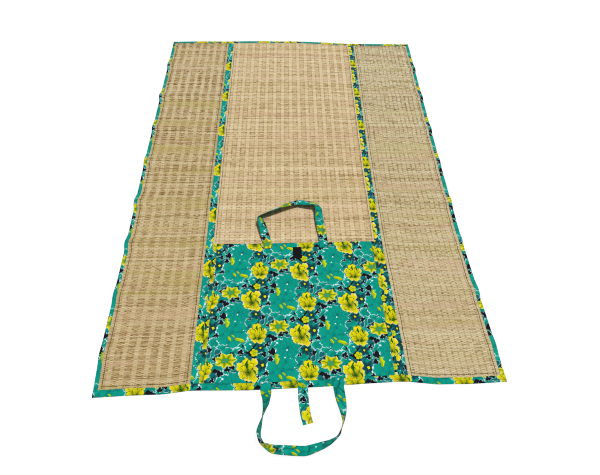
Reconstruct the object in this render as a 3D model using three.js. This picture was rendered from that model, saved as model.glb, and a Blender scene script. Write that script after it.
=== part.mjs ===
// A woven reed floor mat that folds up into its own bag, lying open on a flat floor.
// Three reed panels are joined by two cloth hinge strips and bound in the same cloth.
// A cloth bag panel covers the foot of the middle panel. Two cloth handles, a closing
// tab and a square of hook tape are sewn to it.
//
// Millimetres. The origin is on the floor under the middle of the mat. X runs across the
// mat, along the reeds, Y runs along it from the handle end to the far end, and Z is up.
//
// Each piece is worked out on a straight-sided mat, and settle() then lays that mat down
// as it really lies: not quite straight, and with low ridges left by its folds.

import * as THREE from "three";

// Driving sizes.
const MAT_WIDTH = 1220;
const MAT_LENGTH = 1830;
const SIDE_PANEL = 305; // outer edge to the middle of a hinge strip
const STRIP_WIDTH = 26;
const SIDE_BINDING = 14;
const TOP_BINDING = 16;
const FOOT_BINDING = 20;
const BAG_TOP = -390; // the upper edge of the bag panel

const REED = 3.2; // thickness of the woven reed
const CLOTH = 1.0; // thickness of the printed cloth, hems pressed flat
const GAP = 0.3; // between pieces that are sewn together
const STRAP = 2.0; // handles and tab are folded cloth, several layers thick
const HANDLE_WIDTH = 32;
const TAB_WIDTH = 30;
const WEB = 4; // where the two layers of a hinge strip are sewn together
const PATCH = { x: -4, y: -426, width: 31, length: 49, thickness: 1.4 };

// Heights above the floor of one layer on the next.
const RELIEF = CLOTH + GAP; // the reed is pressed thin over the cloth that runs under it
const CLOTH_BASE = REED + GAP;
const CLOTH_TOP = CLOTH_BASE + CLOTH;
const ON_CLOTH = CLOTH_TOP + GAP;

const RIGHT = MAT_WIDTH / 2;
const LEFT = -RIGHT;
const TOP = MAT_LENGTH / 2;
const FOOT = -TOP;
const STRIP_LEFT = LEFT + SIDE_PANEL;
const STRIP_RIGHT = RIGHT - SIDE_PANEL;

// How far the lines that run along the mat have drifted sideways, at six places.
const SIDEWAYS = [
  { y: FOOT, left: -1, stripLeft: -16, stripRight: -2, right: 0 },
  { y: -790, left: -8, stripLeft: -15, stripRight: -4, right: -1 },
  { y: -375, left: -5, stripLeft: -12, stripRight: -15, right: -12 },
  { y: 30, left: -7, stripLeft: -11, stripRight: -12, right: -8 },
  { y: 465, left: -4, stripLeft: -9, stripRight: -3, right: -2 },
  { y: TOP, left: 1, stripLeft: -6, stripRight: 7, right: 5 },
];

// How far the two ends of the mat have drifted lengthways, from its left side to its right.
const ENDS = [
  { x: LEFT, foot: -10, top: 12 },
  { x: -500, foot: -6, top: 15 },
  { x: -400, foot: -5, top: 16 },
  { x: STRIP_LEFT - STRIP_WIDTH / 2, foot: 4, top: 14 },
  { x: STRIP_LEFT + STRIP_WIDTH / 2, foot: 4, top: 16 },
  { x: -150, foot: 1, top: 18 },
  { x: 60, foot: 6, top: 14 },
  { x: 200, foot: 13, top: 2 },
  { x: STRIP_RIGHT - STRIP_WIDTH / 2, foot: 16, top: -7 },
  { x: STRIP_RIGHT + STRIP_WIDTH / 2, foot: 15, top: -7 },
  { x: 400, foot: 5, top: -9 },
  { x: 500, foot: 4, top: -10 },
  { x: RIGHT, foot: 8, top: -11 },
];

// The old folds: where each crosses the middle, how much further up or down it crosses the
// two side edges, how high its ridge stands on each panel, and how far it pushes each edge out.
const FOLDS = [
  { y: -790, slantLeft: 6, slantRight: -4, left: 2, middle: 2, right: 2, outLeft: 1, outRight: 1 },
  { y: -588, slantLeft: 12, slantRight: -6, left: 3, middle: 2, right: 5, outLeft: 2, outRight: 1 },
  { y: -375, slantLeft: 6, slantRight: -6, left: 4, middle: 0, right: 2, outLeft: 5, outRight: 2 },
  { y: -178, slantLeft: 4, slantRight: -16, left: 5, middle: 3, right: 6, outLeft: 5, outRight: 1 },
  { y: 30, slantLeft: 16, slantRight: 2, left: 5, middle: 0, right: 3, outLeft: 2, outRight: 1 },
  { y: 235, slantLeft: 22, slantRight: 2, left: 3, middle: 4, right: 3, outLeft: 3, outRight: 2 },
  { y: 465, slantLeft: 0, slantRight: -4, left: 7, middle: 2, right: 5, outLeft: 4, outRight: 1 },
  { y: 700, slantLeft: 14, slantRight: -10, left: 4, middle: 2, right: 2, outLeft: 3, outRight: 3 },
];
const FOLD_REACH = 45; // a ridge runs out this far on each side of its fold
const NEAREST = 1; // no two places where a piece bends are nearer than this

// The handles and the tab. A row for each bend: the middle of the strap, the height of its
// lowest point, and where its second edge lies: towards is a direction in the floor's plane,
// in degrees from +X to +Y, and dip is how far that edge is turned down from level.
const UPPER_HANDLE = [
  { x: -111, y: -406, base: ON_CLOTH, towards: 2, dip: 0 },
  { x: -111, y: -386, base: ON_CLOTH, towards: 6, dip: 0 },
  { x: -119, y: -352, base: 6, towards: 12, dip: 8 },
  { x: -128, y: -314, base: 7, towards: 14, dip: 24 },
  { x: -136, y: -284, base: 7, towards: 22, dip: 38 },
  { x: -138, y: -264, base: 5, towards: 60, dip: 42 },
  { x: -112, y: -248, base: 4, towards: 104, dip: 50 },
  { x: -72, y: -229, base: 4, towards: 110, dip: 47 },
  { x: -38, y: -211, base: 6, towards: 112, dip: 30 },
  { x: 4, y: -198, base: 8, towards: 92, dip: 15 },
  { x: 40, y: -204, base: 9, towards: 78, dip: 20 },
  { x: 68, y: -212, base: 8, towards: 60, dip: 38 },
  { x: 80, y: -230, base: 8, towards: 22, dip: 30 },
  { x: 81, y: -268, base: 8, towards: 6, dip: 14 },
  { x: 85, y: -315, base: 7, towards: 5, dip: 10 },
  { x: 89, y: -352, base: 6, towards: 4, dip: 4 },
  { x: 91, y: -386, base: ON_CLOTH, towards: 2, dip: 0 },
  { x: 92, y: -406, base: ON_CLOTH, towards: 2, dip: 0 },
];
const LOWER_HANDLE = [
  { x: -110, y: -882, base: ON_CLOTH, towards: 180, dip: 0 },
  { x: -110, y: -915, base: ON_CLOTH, towards: 180, dip: 0 },
  { x: -108, y: -940, base: 0, towards: 180, dip: 38 },
  { x: -110, y: -965, base: 0, towards: 175, dip: 58 },
  { x: -119, y: -1000, base: 0, towards: 170, dip: 88 },
  { x: -128, y: -1038, base: 0, towards: -10, dip: 72 },
  { x: -119, y: -1064, base: 0, towards: 42, dip: 66 },
  { x: -90, y: -1079, base: 0, towards: 78, dip: 34 },
  { x: -50, y: -1083, base: 0, towards: 88, dip: 24 },
  { x: 0, y: -1086, base: 0, towards: 92, dip: 24 },
  { x: 36, y: -1077, base: 0, towards: 106, dip: 38 },
  { x: 68, y: -1066, base: 0, towards: 116, dip: 58 },
  { x: 92, y: -1050, base: 0, towards: 130, dip: 78 },
  { x: 107, y: -1018, base: 0, towards: -15, dip: 84 },
  { x: 110, y: -985, base: 0, towards: 0, dip: 48 },
  { x: 108, y: -948, base: 0, towards: 4, dip: 14 },
  { x: 104, y: -915, base: ON_CLOTH, towards: 2, dip: 0 },
  { x: 104, y: -882, base: ON_CLOTH, towards: 0, dip: 0 },
];
const TAB = [
  { x: -1, y: -890, base: ON_CLOTH, towards: 180, dip: 0 },
  { x: -1, y: -914, base: ON_CLOTH, towards: 180, dip: 0 },
  { x: -1, y: -938, base: 0, towards: 181, dip: 0 },
  { x: 1, y: -965, base: 0, towards: 184, dip: 0 },
  { x: 4, y: -990, base: 0, towards: 188, dip: 0 },
  { x: 10, y: -1014, base: 0, towards: 192, dip: 0 },
];
const SPANS_PER_ROW = 3; // the strap is cut into this many lengths between two rows

// One column of a table, read at any place along another column.
function read(table, along, place, column) {
  const last = table.length - 1;
  if (place <= table[0][along]) return table[0][column];
  if (place >= table[last][along]) return table[last][column];
  const i = table.findIndex((row) => row[along] > place);
  const [low, high] = [table[i - 1], table[i]];
  const share = (place - low[along]) / (high[along] - low[along]);
  return THREE.MathUtils.lerp(low[column], high[column], share);
}

// A value given on the four lines along the mat, read at any place across it.
function across(x, left, stripLeft, stripRight, right) {
  const lines = [
    { x: LEFT, value: left },
    { x: STRIP_LEFT, value: stripLeft },
    { x: STRIP_RIGHT, value: stripRight },
    { x: RIGHT, value: right },
  ];
  return read(lines, "x", x, "value");
}

// 1 on a fold, falling evenly to 0 where its ridge runs out.
function nearness(y, fold) {
  return Math.max(0, 1 - Math.abs(y - fold.y) / FOLD_REACH);
}

// How far a fold line at this height along the mat leans up or down across it.
function slant(x, y) {
  const left = read(FOLDS, "y", y, "slantLeft");
  const right = read(FOLDS, "y", y, "slantRight");
  const fade = Math.min(1, (TOP - Math.abs(y)) / (TOP - FOLDS.at(-1).y));
  return across(x, left, 0, 0, right) * fade;
}

// Takes a point of the straight-sided mat to where it lies. Height is above the underside.
function settle(x, y, height) {
  const row = (column) => read(SIDEWAYS, "y", y, column);
  let outLeft = row("left");
  let outRight = row("right");
  let lift = 0;
  for (const fold of FOLDS) {
    const near = nearness(y, fold);
    outLeft -= fold.outLeft * near;
    outRight += fold.outRight * near;
    lift += across(x, fold.left, fold.middle, fold.middle, fold.right) * near;
  }
  const foot = read(ENDS, "x", x, "foot");
  const top = read(ENDS, "x", x, "top");
  const up = (y - FOOT) / MAT_LENGTH;
  return new THREE.Vector3(
    x + across(x, outLeft, row("stripLeft"), row("stripRight"), outRight),
    y + THREE.MathUtils.lerp(foot, top, up) + slant(x, y),
    lift + height,
  );
}

// The places along the mat where its surface bends, with the two ends of a piece.
function rowsBetween(low, high) {
  const bends = FOLDS.flatMap((fold) => [fold.y - FOLD_REACH, fold.y, fold.y + FOLD_REACH]);
  const inside = bends.filter((y) => y > low + NEAREST && y < high - NEAREST);
  return [low, ...inside, high];
}

// The places across the mat where its surface bends, with the two sides of a piece.
function columnsBetween(low, high) {
  const bends = ENDS.map((end) => end.x);
  const inside = bends.filter((x) => x > low + NEAREST && x < high - NEAREST);
  return [low, ...inside, high];
}

// Joins rings of points, all with the same count, into one closed skin. A ring runs
// counter-clockwise, seen from the start looking along the way. The second half of a ring
// runs back over its first, and its squares are cut the other way, so that both sides of a
// twisted strip fold alike. capFaces fills the first ring, and turned round the last.
function skin(rings, capFaces) {
  const count = rings[0].length;
  const faces = [];
  for (let ring = 0; ring < rings.length - 1; ring += 1) {
    for (let i = 0; i < count; i += 1) {
      const a = ring * count + i;
      const b = ring * count + ((i + 1) % count);
      if (i < count / 2) faces.push([a, b + count, b], [a, a + count, b + count]);
      else faces.push([a, a + count, b], [b, a + count, b + count]);
    }
  }
  const lastRing = (rings.length - 1) * count;
  for (const [a, b, c] of capFaces) {
    faces.push([a, b, c], [lastRing + a, lastRing + c, lastRing + b]);
  }
  const geometry = new THREE.BufferGeometry().setFromPoints(rings.flat());
  geometry.setIndex(faces.flat());
  return geometry.toNonIndexed();
}

// Fills a ring point above point.
function slabCap(count) {
  const faces = [];
  for (let i = 0; i < count / 2 - 1; i += 1) {
    const above = count - 1 - i;
    faces.push([i, i + 1, above - 1], [i, above - 1, above]);
  }
  return faces;
}

// Carries a flat outline along the mat, as [sideways, height] pairs. A folded outline is
// filled as the shape it is, and any other as a slab.
function carry(stations, outlineAt, place, folded) {
  const rings = stations.map((station) =>
    outlineAt(station).map(([side, height]) => place(side, station, height)),
  );
  const flat = outlineAt(stations[0]).map(([a, b]) => new THREE.Vector2(a, b));
  return skin(rings, folded ? THREE.ShapeUtils.triangulateShape(flat, []) : slabCap(flat.length));
}

// Seen along +Y, X runs to the right. Seen along +X, Y runs to the left, so it is turned.
const alongMat = (side, station, height) => settle(side, station, height);
const acrossMat = (side, station, height) => settle(station, -side, height);

// One woven panel. Its underside steps up where the cloth of a binding or strip runs below.
function reedPanel(left, right, clothLeft, clothRight) {
  const clear = 1; // from the hem of the cloth to where the step starts
  const slope = 3; // how far the step takes to come down to the floor
  const low = FOOT + RELIEF;
  const high = TOP - RELIEF;
  const footStep = FOOT + FOOT_BINDING + clear;
  const topStep = TOP - TOP_BINDING - clear;
  const leftStep = left + clothLeft + clear;
  const rightStep = right - clothRight - clear;
  const upper = [left, leftStep, ...columnsBetween(leftStep + slope, rightStep - slope), rightStep, right];
  const outlineAt = (y) => {
    const floor = y <= footStep || y >= topStep ? RELIEF : 0;
    const under = upper.map((x, i) => {
      const edge = i < 2 || i > upper.length - 3;
      return [x, edge ? RELIEF : floor];
    });
    const over = upper.map((x) => [x, REED]).reverse();
    return [...under, ...over];
  };
  const inner = rowsBetween(footStep + slope, topStep - slope);
  return carry([low, footStep, ...inner, topStep, high], outlineAt, alongMat, false);
}

// The outline of a binding folded over an edge at x = edge, with its open side inward.
function bindingOutline(edge, inward, width) {
  const wall = edge + inward * CLOTH;
  const hem = edge + inward * width;
  const outline = [
    [edge, 0],
    [hem, 0],
    [hem, CLOTH],
    [wall, CLOTH],
    [wall, CLOTH_BASE],
    [hem, CLOTH_BASE],
    [hem, CLOTH_TOP],
    [edge, CLOTH_TOP],
  ];
  return inward > 0 ? outline : outline.reverse();
}

function sideBinding(edge, inward) {
  const low = FOOT + FOOT_BINDING + GAP;
  const high = TOP - TOP_BINDING - GAP;
  const outline = bindingOutline(edge, inward, SIDE_BINDING);
  return carry(rowsBetween(low, high), () => outline, alongMat, true);
}

function endBinding(edge, inward, width) {
  const outline = bindingOutline(edge, inward, width);
  return carry(columnsBetween(LEFT, RIGHT), () => outline, acrossMat, true);
}

// A hinge strip: two layers of cloth sewn together down the middle, a reed panel between
// them on each side.
function hingeStrip(centre) {
  const half = STRIP_WIDTH / 2;
  const web = WEB / 2;
  const outline = [
    [centre - half, 0],
    [centre + half, 0],
    [centre + half, CLOTH],
    [centre + web, CLOTH],
    [centre + web, CLOTH_BASE],
    [centre + half, CLOTH_BASE],
    [centre + half, CLOTH_TOP],
    [centre - half, CLOTH_TOP],
    [centre - half, CLOTH_BASE],
    [centre - web, CLOTH_BASE],
    [centre - web, CLOTH],
    [centre - half, CLOTH],
  ];
  const low = FOOT + FOOT_BINDING + GAP;
  const high = TOP - TOP_BINDING - GAP;
  return carry(rowsBetween(low, high), () => outline, alongMat, true);
}

// The bag panel lies on the reed between the two strips, down to the binding at the foot.
function bagPanel() {
  const left = STRIP_LEFT + STRIP_WIDTH / 2 + GAP;
  const right = STRIP_RIGHT - STRIP_WIDTH / 2 - GAP;
  const columns = columnsBetween(left, right);
  const outline = [
    ...columns.map((x) => [x, CLOTH_BASE]),
    ...columns.map((x) => [x, CLOTH_TOP]).reverse(),
  ];
  return carry(rowsBetween(FOOT + FOOT_BINDING + GAP, BAG_TOP), () => outline, alongMat, false);
}

// The way from a strap's first edge to its second, as a row of its table gives it.
function widthWay(row) {
  const turn = THREE.MathUtils.degToRad(row.towards);
  const dip = THREE.MathUtils.degToRad(row.dip);
  const level = Math.cos(dip);
  return new THREE.Vector3(level * Math.cos(turn), level * Math.sin(turn), -Math.sin(dip));
}

// A flat strap along a smooth line through its rows, with half its width to each side. Its
// lowest edge is at the row's base.
function strap(rows, width) {
  const count = (rows.length - 1) * SPANS_PER_ROW + 1;
  const smooth = (points) => new THREE.CatmullRomCurve3(points, false, "catmullrom");
  const path = smooth(rows.map((row) => new THREE.Vector3(row.x, row.y, row.base)));
  const widthWays = smooth(rows.map(widthWay));
  const rings = [];
  for (let i = 0; i < count; i += 1) {
    const share = i / (count - 1);
    const edge = widthWays.getPoint(share).normalize();
    const way = path.getTangent(share).setZ(0).normalize();
    const face = new THREE.Vector3().crossVectors(edge, way).normalize();
    const centre = path.getPoint(share);
    centre.z = Math.max(0, centre.z) + (width * Math.abs(edge.z) + STRAP * Math.abs(face.z)) / 2;
    const corner = (a, b) =>
      centre.clone().addScaledVector(edge, (a * width) / 2).addScaledVector(face, (b * STRAP) / 2);
    rings.push([corner(-1, -1), corner(1, -1), corner(1, 1), corner(-1, 1)]);
  }
  return skin(rings, slabCap(rings[0].length));
}

function hookPatch() {
  const { x, y, width, length, thickness } = PATCH;
  const geometry = new THREE.BoxGeometry(width, length, thickness);
  return geometry.translate(x, y, ON_CLOTH + thickness / 2);
}

const reed = new THREE.MeshStandardMaterial({ color: 0xc4ad84, roughness: 0.75, metalness: 0 });
const print = new THREE.MeshStandardMaterial({ color: 0x139c88, roughness: 0.85, metalness: 0 });
const hookTape = new THREE.MeshStandardMaterial({ color: 0x18181c, roughness: 0.95, metalness: 0 });

const mat = new THREE.Group();
function add(name, geometry, material) {
  const mesh = new THREE.Mesh(geometry, material);
  mesh.name = name;
  mat.add(mesh);
}

const besideWeb = WEB / 2 + GAP;
const underStrip = STRIP_WIDTH / 2 - besideWeb;
const underBinding = SIDE_BINDING - RELIEF;
const outerLeft = LEFT + RELIEF;
const outerRight = RIGHT - RELIEF;
add(
  "reed_panel_left",
  reedPanel(outerLeft, STRIP_LEFT - besideWeb, underBinding, underStrip),
  reed,
);
add(
  "reed_panel_middle",
  reedPanel(STRIP_LEFT + besideWeb, STRIP_RIGHT - besideWeb, underStrip, underStrip),
  reed,
);
add(
  "reed_panel_right",
  reedPanel(STRIP_RIGHT + besideWeb, outerRight, underStrip, underBinding),
  reed,
);
add("hinge_strip_left", hingeStrip(STRIP_LEFT), print);
add("hinge_strip_right", hingeStrip(STRIP_RIGHT), print);
add("binding_left", sideBinding(LEFT, 1), print);
add("binding_right", sideBinding(RIGHT, -1), print);
add("binding_top", endBinding(-TOP, 1, TOP_BINDING), print);
add("binding_foot", endBinding(TOP, -1, FOOT_BINDING), print);
add("bag_panel", bagPanel(), print);
add("handle_upper", strap(UPPER_HANDLE, HANDLE_WIDTH), print);
add("handle_lower", strap(LOWER_HANDLE, HANDLE_WIDTH), print);
add("closing_tab", strap(TAB, TAB_WIDTH), print);
add("hook_patch", hookPatch(), hookTape);

export default mat;
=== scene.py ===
"""A woven reed floor mat that folds up into its own carrying bag, lying open on the floor.

Everything is in metres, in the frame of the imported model: X runs across the mat along the reeds,
Y runs along it from the handle end to the far end, and Z is up from the floor. Tables of places
are in millimetres, and table() turns them into metres.

Each piece is worked out on a straight-sided mat, and settle() lays that mat down as it really
lies. The UV map of every piece is the flat cloth or reed in metres, so that weave and print
follow it.
"""

import math
from functools import partialmethod

import bpy
import numpy as np
from mathutils import Matrix, Vector


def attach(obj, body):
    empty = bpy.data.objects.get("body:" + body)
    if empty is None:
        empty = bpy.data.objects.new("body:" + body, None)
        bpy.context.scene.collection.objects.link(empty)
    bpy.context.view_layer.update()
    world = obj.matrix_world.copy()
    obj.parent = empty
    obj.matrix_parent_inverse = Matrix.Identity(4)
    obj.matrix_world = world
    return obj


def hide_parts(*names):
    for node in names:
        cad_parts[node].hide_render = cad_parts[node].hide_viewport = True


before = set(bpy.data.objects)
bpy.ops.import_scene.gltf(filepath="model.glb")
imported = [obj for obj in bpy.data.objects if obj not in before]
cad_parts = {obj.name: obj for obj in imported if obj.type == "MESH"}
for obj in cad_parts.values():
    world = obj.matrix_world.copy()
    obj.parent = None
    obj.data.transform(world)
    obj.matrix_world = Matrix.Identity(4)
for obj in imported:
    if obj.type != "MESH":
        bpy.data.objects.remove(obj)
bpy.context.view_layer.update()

MM = 0.001


def table(names, rows):
    """Named columns in metres, from rows of millimetres."""
    columns = np.array(rows, float).T * MM
    return dict(zip(names.split(), columns))


# ---- Sizes of the mat, the same as in its source.

MAT_WIDTH = 1220 * MM
MAT_LENGTH = 1830 * MM
SIDE_PANEL = 305 * MM
STRIP_WIDTH = 26 * MM
SIDE_BINDING = 14 * MM
TOP_BINDING = 16 * MM
FOOT_BINDING = 20 * MM
BAG_TOP = -390 * MM

REED = 3.2 * MM
CLOTH = 1.0 * MM
GAP = 0.3 * MM
STRAP = 2.0 * MM
HANDLE_WIDTH = 32 * MM
TAB_WIDTH = 30 * MM
SEAM_INSET = 3.5 * MM
WEB = 4 * MM
PATCH_MIDDLE = (-4 * MM, -426 * MM)
PATCH_SIZE = (31 * MM, 49 * MM)

RELIEF = CLOTH + GAP
CLOTH_BASE = REED + GAP
CLOTH_TOP = CLOTH_BASE + CLOTH
ON_CLOTH = CLOTH_TOP + GAP

RIGHT = MAT_WIDTH / 2
LEFT = -RIGHT
TOP = MAT_LENGTH / 2
FOOT = -TOP
STRIP_LEFT = LEFT + SIDE_PANEL
STRIP_RIGHT = RIGHT - SIDE_PANEL
ABOVE_FOOT = FOOT + FOOT_BINDING
BELOW_TOP = TOP - TOP_BINDING

SIDEWAYS = table(
    "y left strip_left strip_right right",
    [
        (-915, -1, -16, -2, 0),
        (-790, -8, -15, -4, -1),
        (-375, -5, -12, -15, -12),
        (30, -7, -11, -12, -8),
        (465, -4, -9, -3, -2),
        (915, 1, -6, 7, 5),
    ],
)
ENDS = table(
    "x foot top",
    [
        (-610, -10, 12),
        (-500, -6, 15),
        (-400, -5, 16),
        (-318, 4, 14),
        (-292, 4, 16),
        (-150, 1, 18),
        (60, 6, 14),
        (200, 13, 2),
        (292, 16, -7),
        (318, 15, -7),
        (400, 5, -9),
        (500, 4, -10),
        (610, 8, -11),
    ],
)
FOLDS = table(
    "y slant_left slant_right left middle right out_left out_right",
    [
        (-790, 6, -4, 2, 2, 2, 1, 1),
        (-588, 12, -6, 3, 2, 5, 2, 1),
        (-375, 6, -6, 4, 0, 2, 5, 2),
        (-178, 4, -16, 5, 3, 6, 5, 1),
        (30, 16, 2, 5, 0, 3, 2, 1),
        (235, 22, 2, 3, 4, 3, 3, 2),
        (465, 0, -4, 7, 2, 5, 4, 1),
        (700, 14, -10, 4, 2, 2, 3, 3),
    ],
)
FOLD_REACH = 45 * MM


def across(x, left, strip_left, strip_right, right):
    """A value given on the four lines along the mat, carried evenly from one line to the next."""
    first = np.clip((x - LEFT) / (STRIP_LEFT - LEFT), 0, 1)
    second = np.clip((x - STRIP_LEFT) / (STRIP_RIGHT - STRIP_LEFT), 0, 1)
    third = np.clip((x - STRIP_RIGHT) / (RIGHT - STRIP_RIGHT), 0, 1)
    value = left + (strip_left - left) * first
    return value + (strip_right - strip_left) * second + (right - strip_right) * third


def slant(x, y):
    """How far a fold line leans up or down at x, fading to nothing at the two ends of the mat."""
    left = np.interp(y, FOLDS["y"], FOLDS["slant_left"])
    right = np.interp(y, FOLDS["y"], FOLDS["slant_right"])
    fade = np.clip((TOP - np.abs(y)) / (TOP - FOLDS["y"][-1]), 0, 1)
    return across(x, left, 0, 0, right) * fade


def settle(x, y, height):
    """Points of the straight-sided mat, moved to where they lie. A fold is a low rounded ridge,
    a raised cosine across its line, that also pushes the mat's long edges out."""
    x, y, height = np.broadcast_arrays(np.asarray(x, float), np.asarray(y, float), height)
    row = {name: np.interp(y, SIDEWAYS["y"], values) for name, values in SIDEWAYS.items()}
    lift = np.zeros_like(x)
    for i, fold_y in enumerate(FOLDS["y"]):
        fold = {name: values[i] for name, values in FOLDS.items()}
        near = 0.5 + 0.5 * np.cos(np.pi * np.clip((y - fold_y) / FOLD_REACH, -1, 1))
        row["left"] = row["left"] - fold["out_left"] * near
        row["right"] = row["right"] + fold["out_right"] * near
        lift = lift + across(x, fold["left"], fold["middle"], fold["middle"], fold["right"]) * near
    foot = np.interp(x, ENDS["x"], ENDS["foot"])
    top = np.interp(x, ENDS["x"], ENDS["top"])
    up = (y - FOOT) / MAT_LENGTH
    drift = across(x, row["left"], row["strip_left"], row["strip_right"], row["right"])
    return np.stack([x + drift, y + foot + (top - foot) * up + slant(x, y), lift + height], -1)


# ---- Camera, floor and light.


def add_camera():
    """Looks down at the mat from its handle end, from standing height."""
    place = Vector((-0.05165, -1.40196, 1.39441))
    pitch, yaw, roll = 0.926170, 0.0565069, 0.0316131
    ahead = Vector(
        (math.sin(yaw) * math.cos(pitch), math.cos(yaw) * math.cos(pitch), -math.sin(pitch))
    )
    level = ahead.cross(Vector((0, 0, 1))).normalized()
    over = level.cross(ahead)
    right = math.cos(roll) * level + math.sin(roll) * over
    up = math.cos(roll) * over - math.sin(roll) * level
    data = bpy.data.cameras.new("camera")
    data.sensor_width = 36
    data.lens = 28.71
    camera = bpy.data.objects.new("camera", data)
    turned = Matrix((right, up, -ahead)).transposed().to_4x4()
    camera.matrix_world = Matrix.Translation(place) @ turned
    bpy.context.collection.objects.link(camera)
    bpy.context.scene.camera = camera


def add_sun():
    """A broad sun, high on the right and a little beyond the mat."""
    place = Vector((1.1, 0.7, 4.0))
    data = bpy.data.lights.new("key", "SUN")
    data.energy = 2.7
    data.angle = math.radians(7)
    sun = bpy.data.objects.new("key", data)
    sun.location = place
    sun.rotation_mode = "QUATERNION"
    sun.rotation_quaternion = (-place).to_track_quat("-Z", "Y")
    bpy.context.collection.objects.link(sun)


def add_studio():
    """An even fill of light, and a pale floor that also shines evenly by itself, so that the
    shadows on it stay faint."""
    world = bpy.data.worlds.new("studio")
    world.use_nodes = True
    fill = world.node_tree.nodes["Background"].inputs
    fill["Color"].default_value = (1, 1, 1, 1)
    fill["Strength"].default_value = 0.29
    scene = bpy.context.scene
    scene.world = world
    scene.view_settings.view_transform = "Standard"
    scene.cycles.filter_width = 1.1

    half = 15
    corners = [(-half, -half, 0), (half, -half, 0), (half, half, 0), (-half, half, 0)]
    mesh = bpy.data.meshes.new("floor")
    mesh.from_pydata(corners, [], [(0, 1, 2, 3)])
    floor = bpy.data.objects.new("floor", mesh)
    bpy.context.collection.objects.link(floor)
    look = {"Base_Color": (0.1, 0.1, 0.1, 1), "Roughness": 0.9, "Specular_IOR_Level": 0.0}
    shine = {"Emission_Color": (1, 1, 1, 1), "Emission_Strength": 0.93}
    mesh.materials.append(new_material("floor", **look, **shine)[0])


# ---- Node trees written as formulas.


def colour(code):
    """A linear colour from a six-digit sRGB code."""
    values = [int(code[i : i + 2], 16) / 255 for i in (0, 2, 4)]
    return tuple(v / 12.92 if v <= 0.04045 else ((v + 0.055) / 1.055) ** 2.4 for v in values) + (1,)


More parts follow.
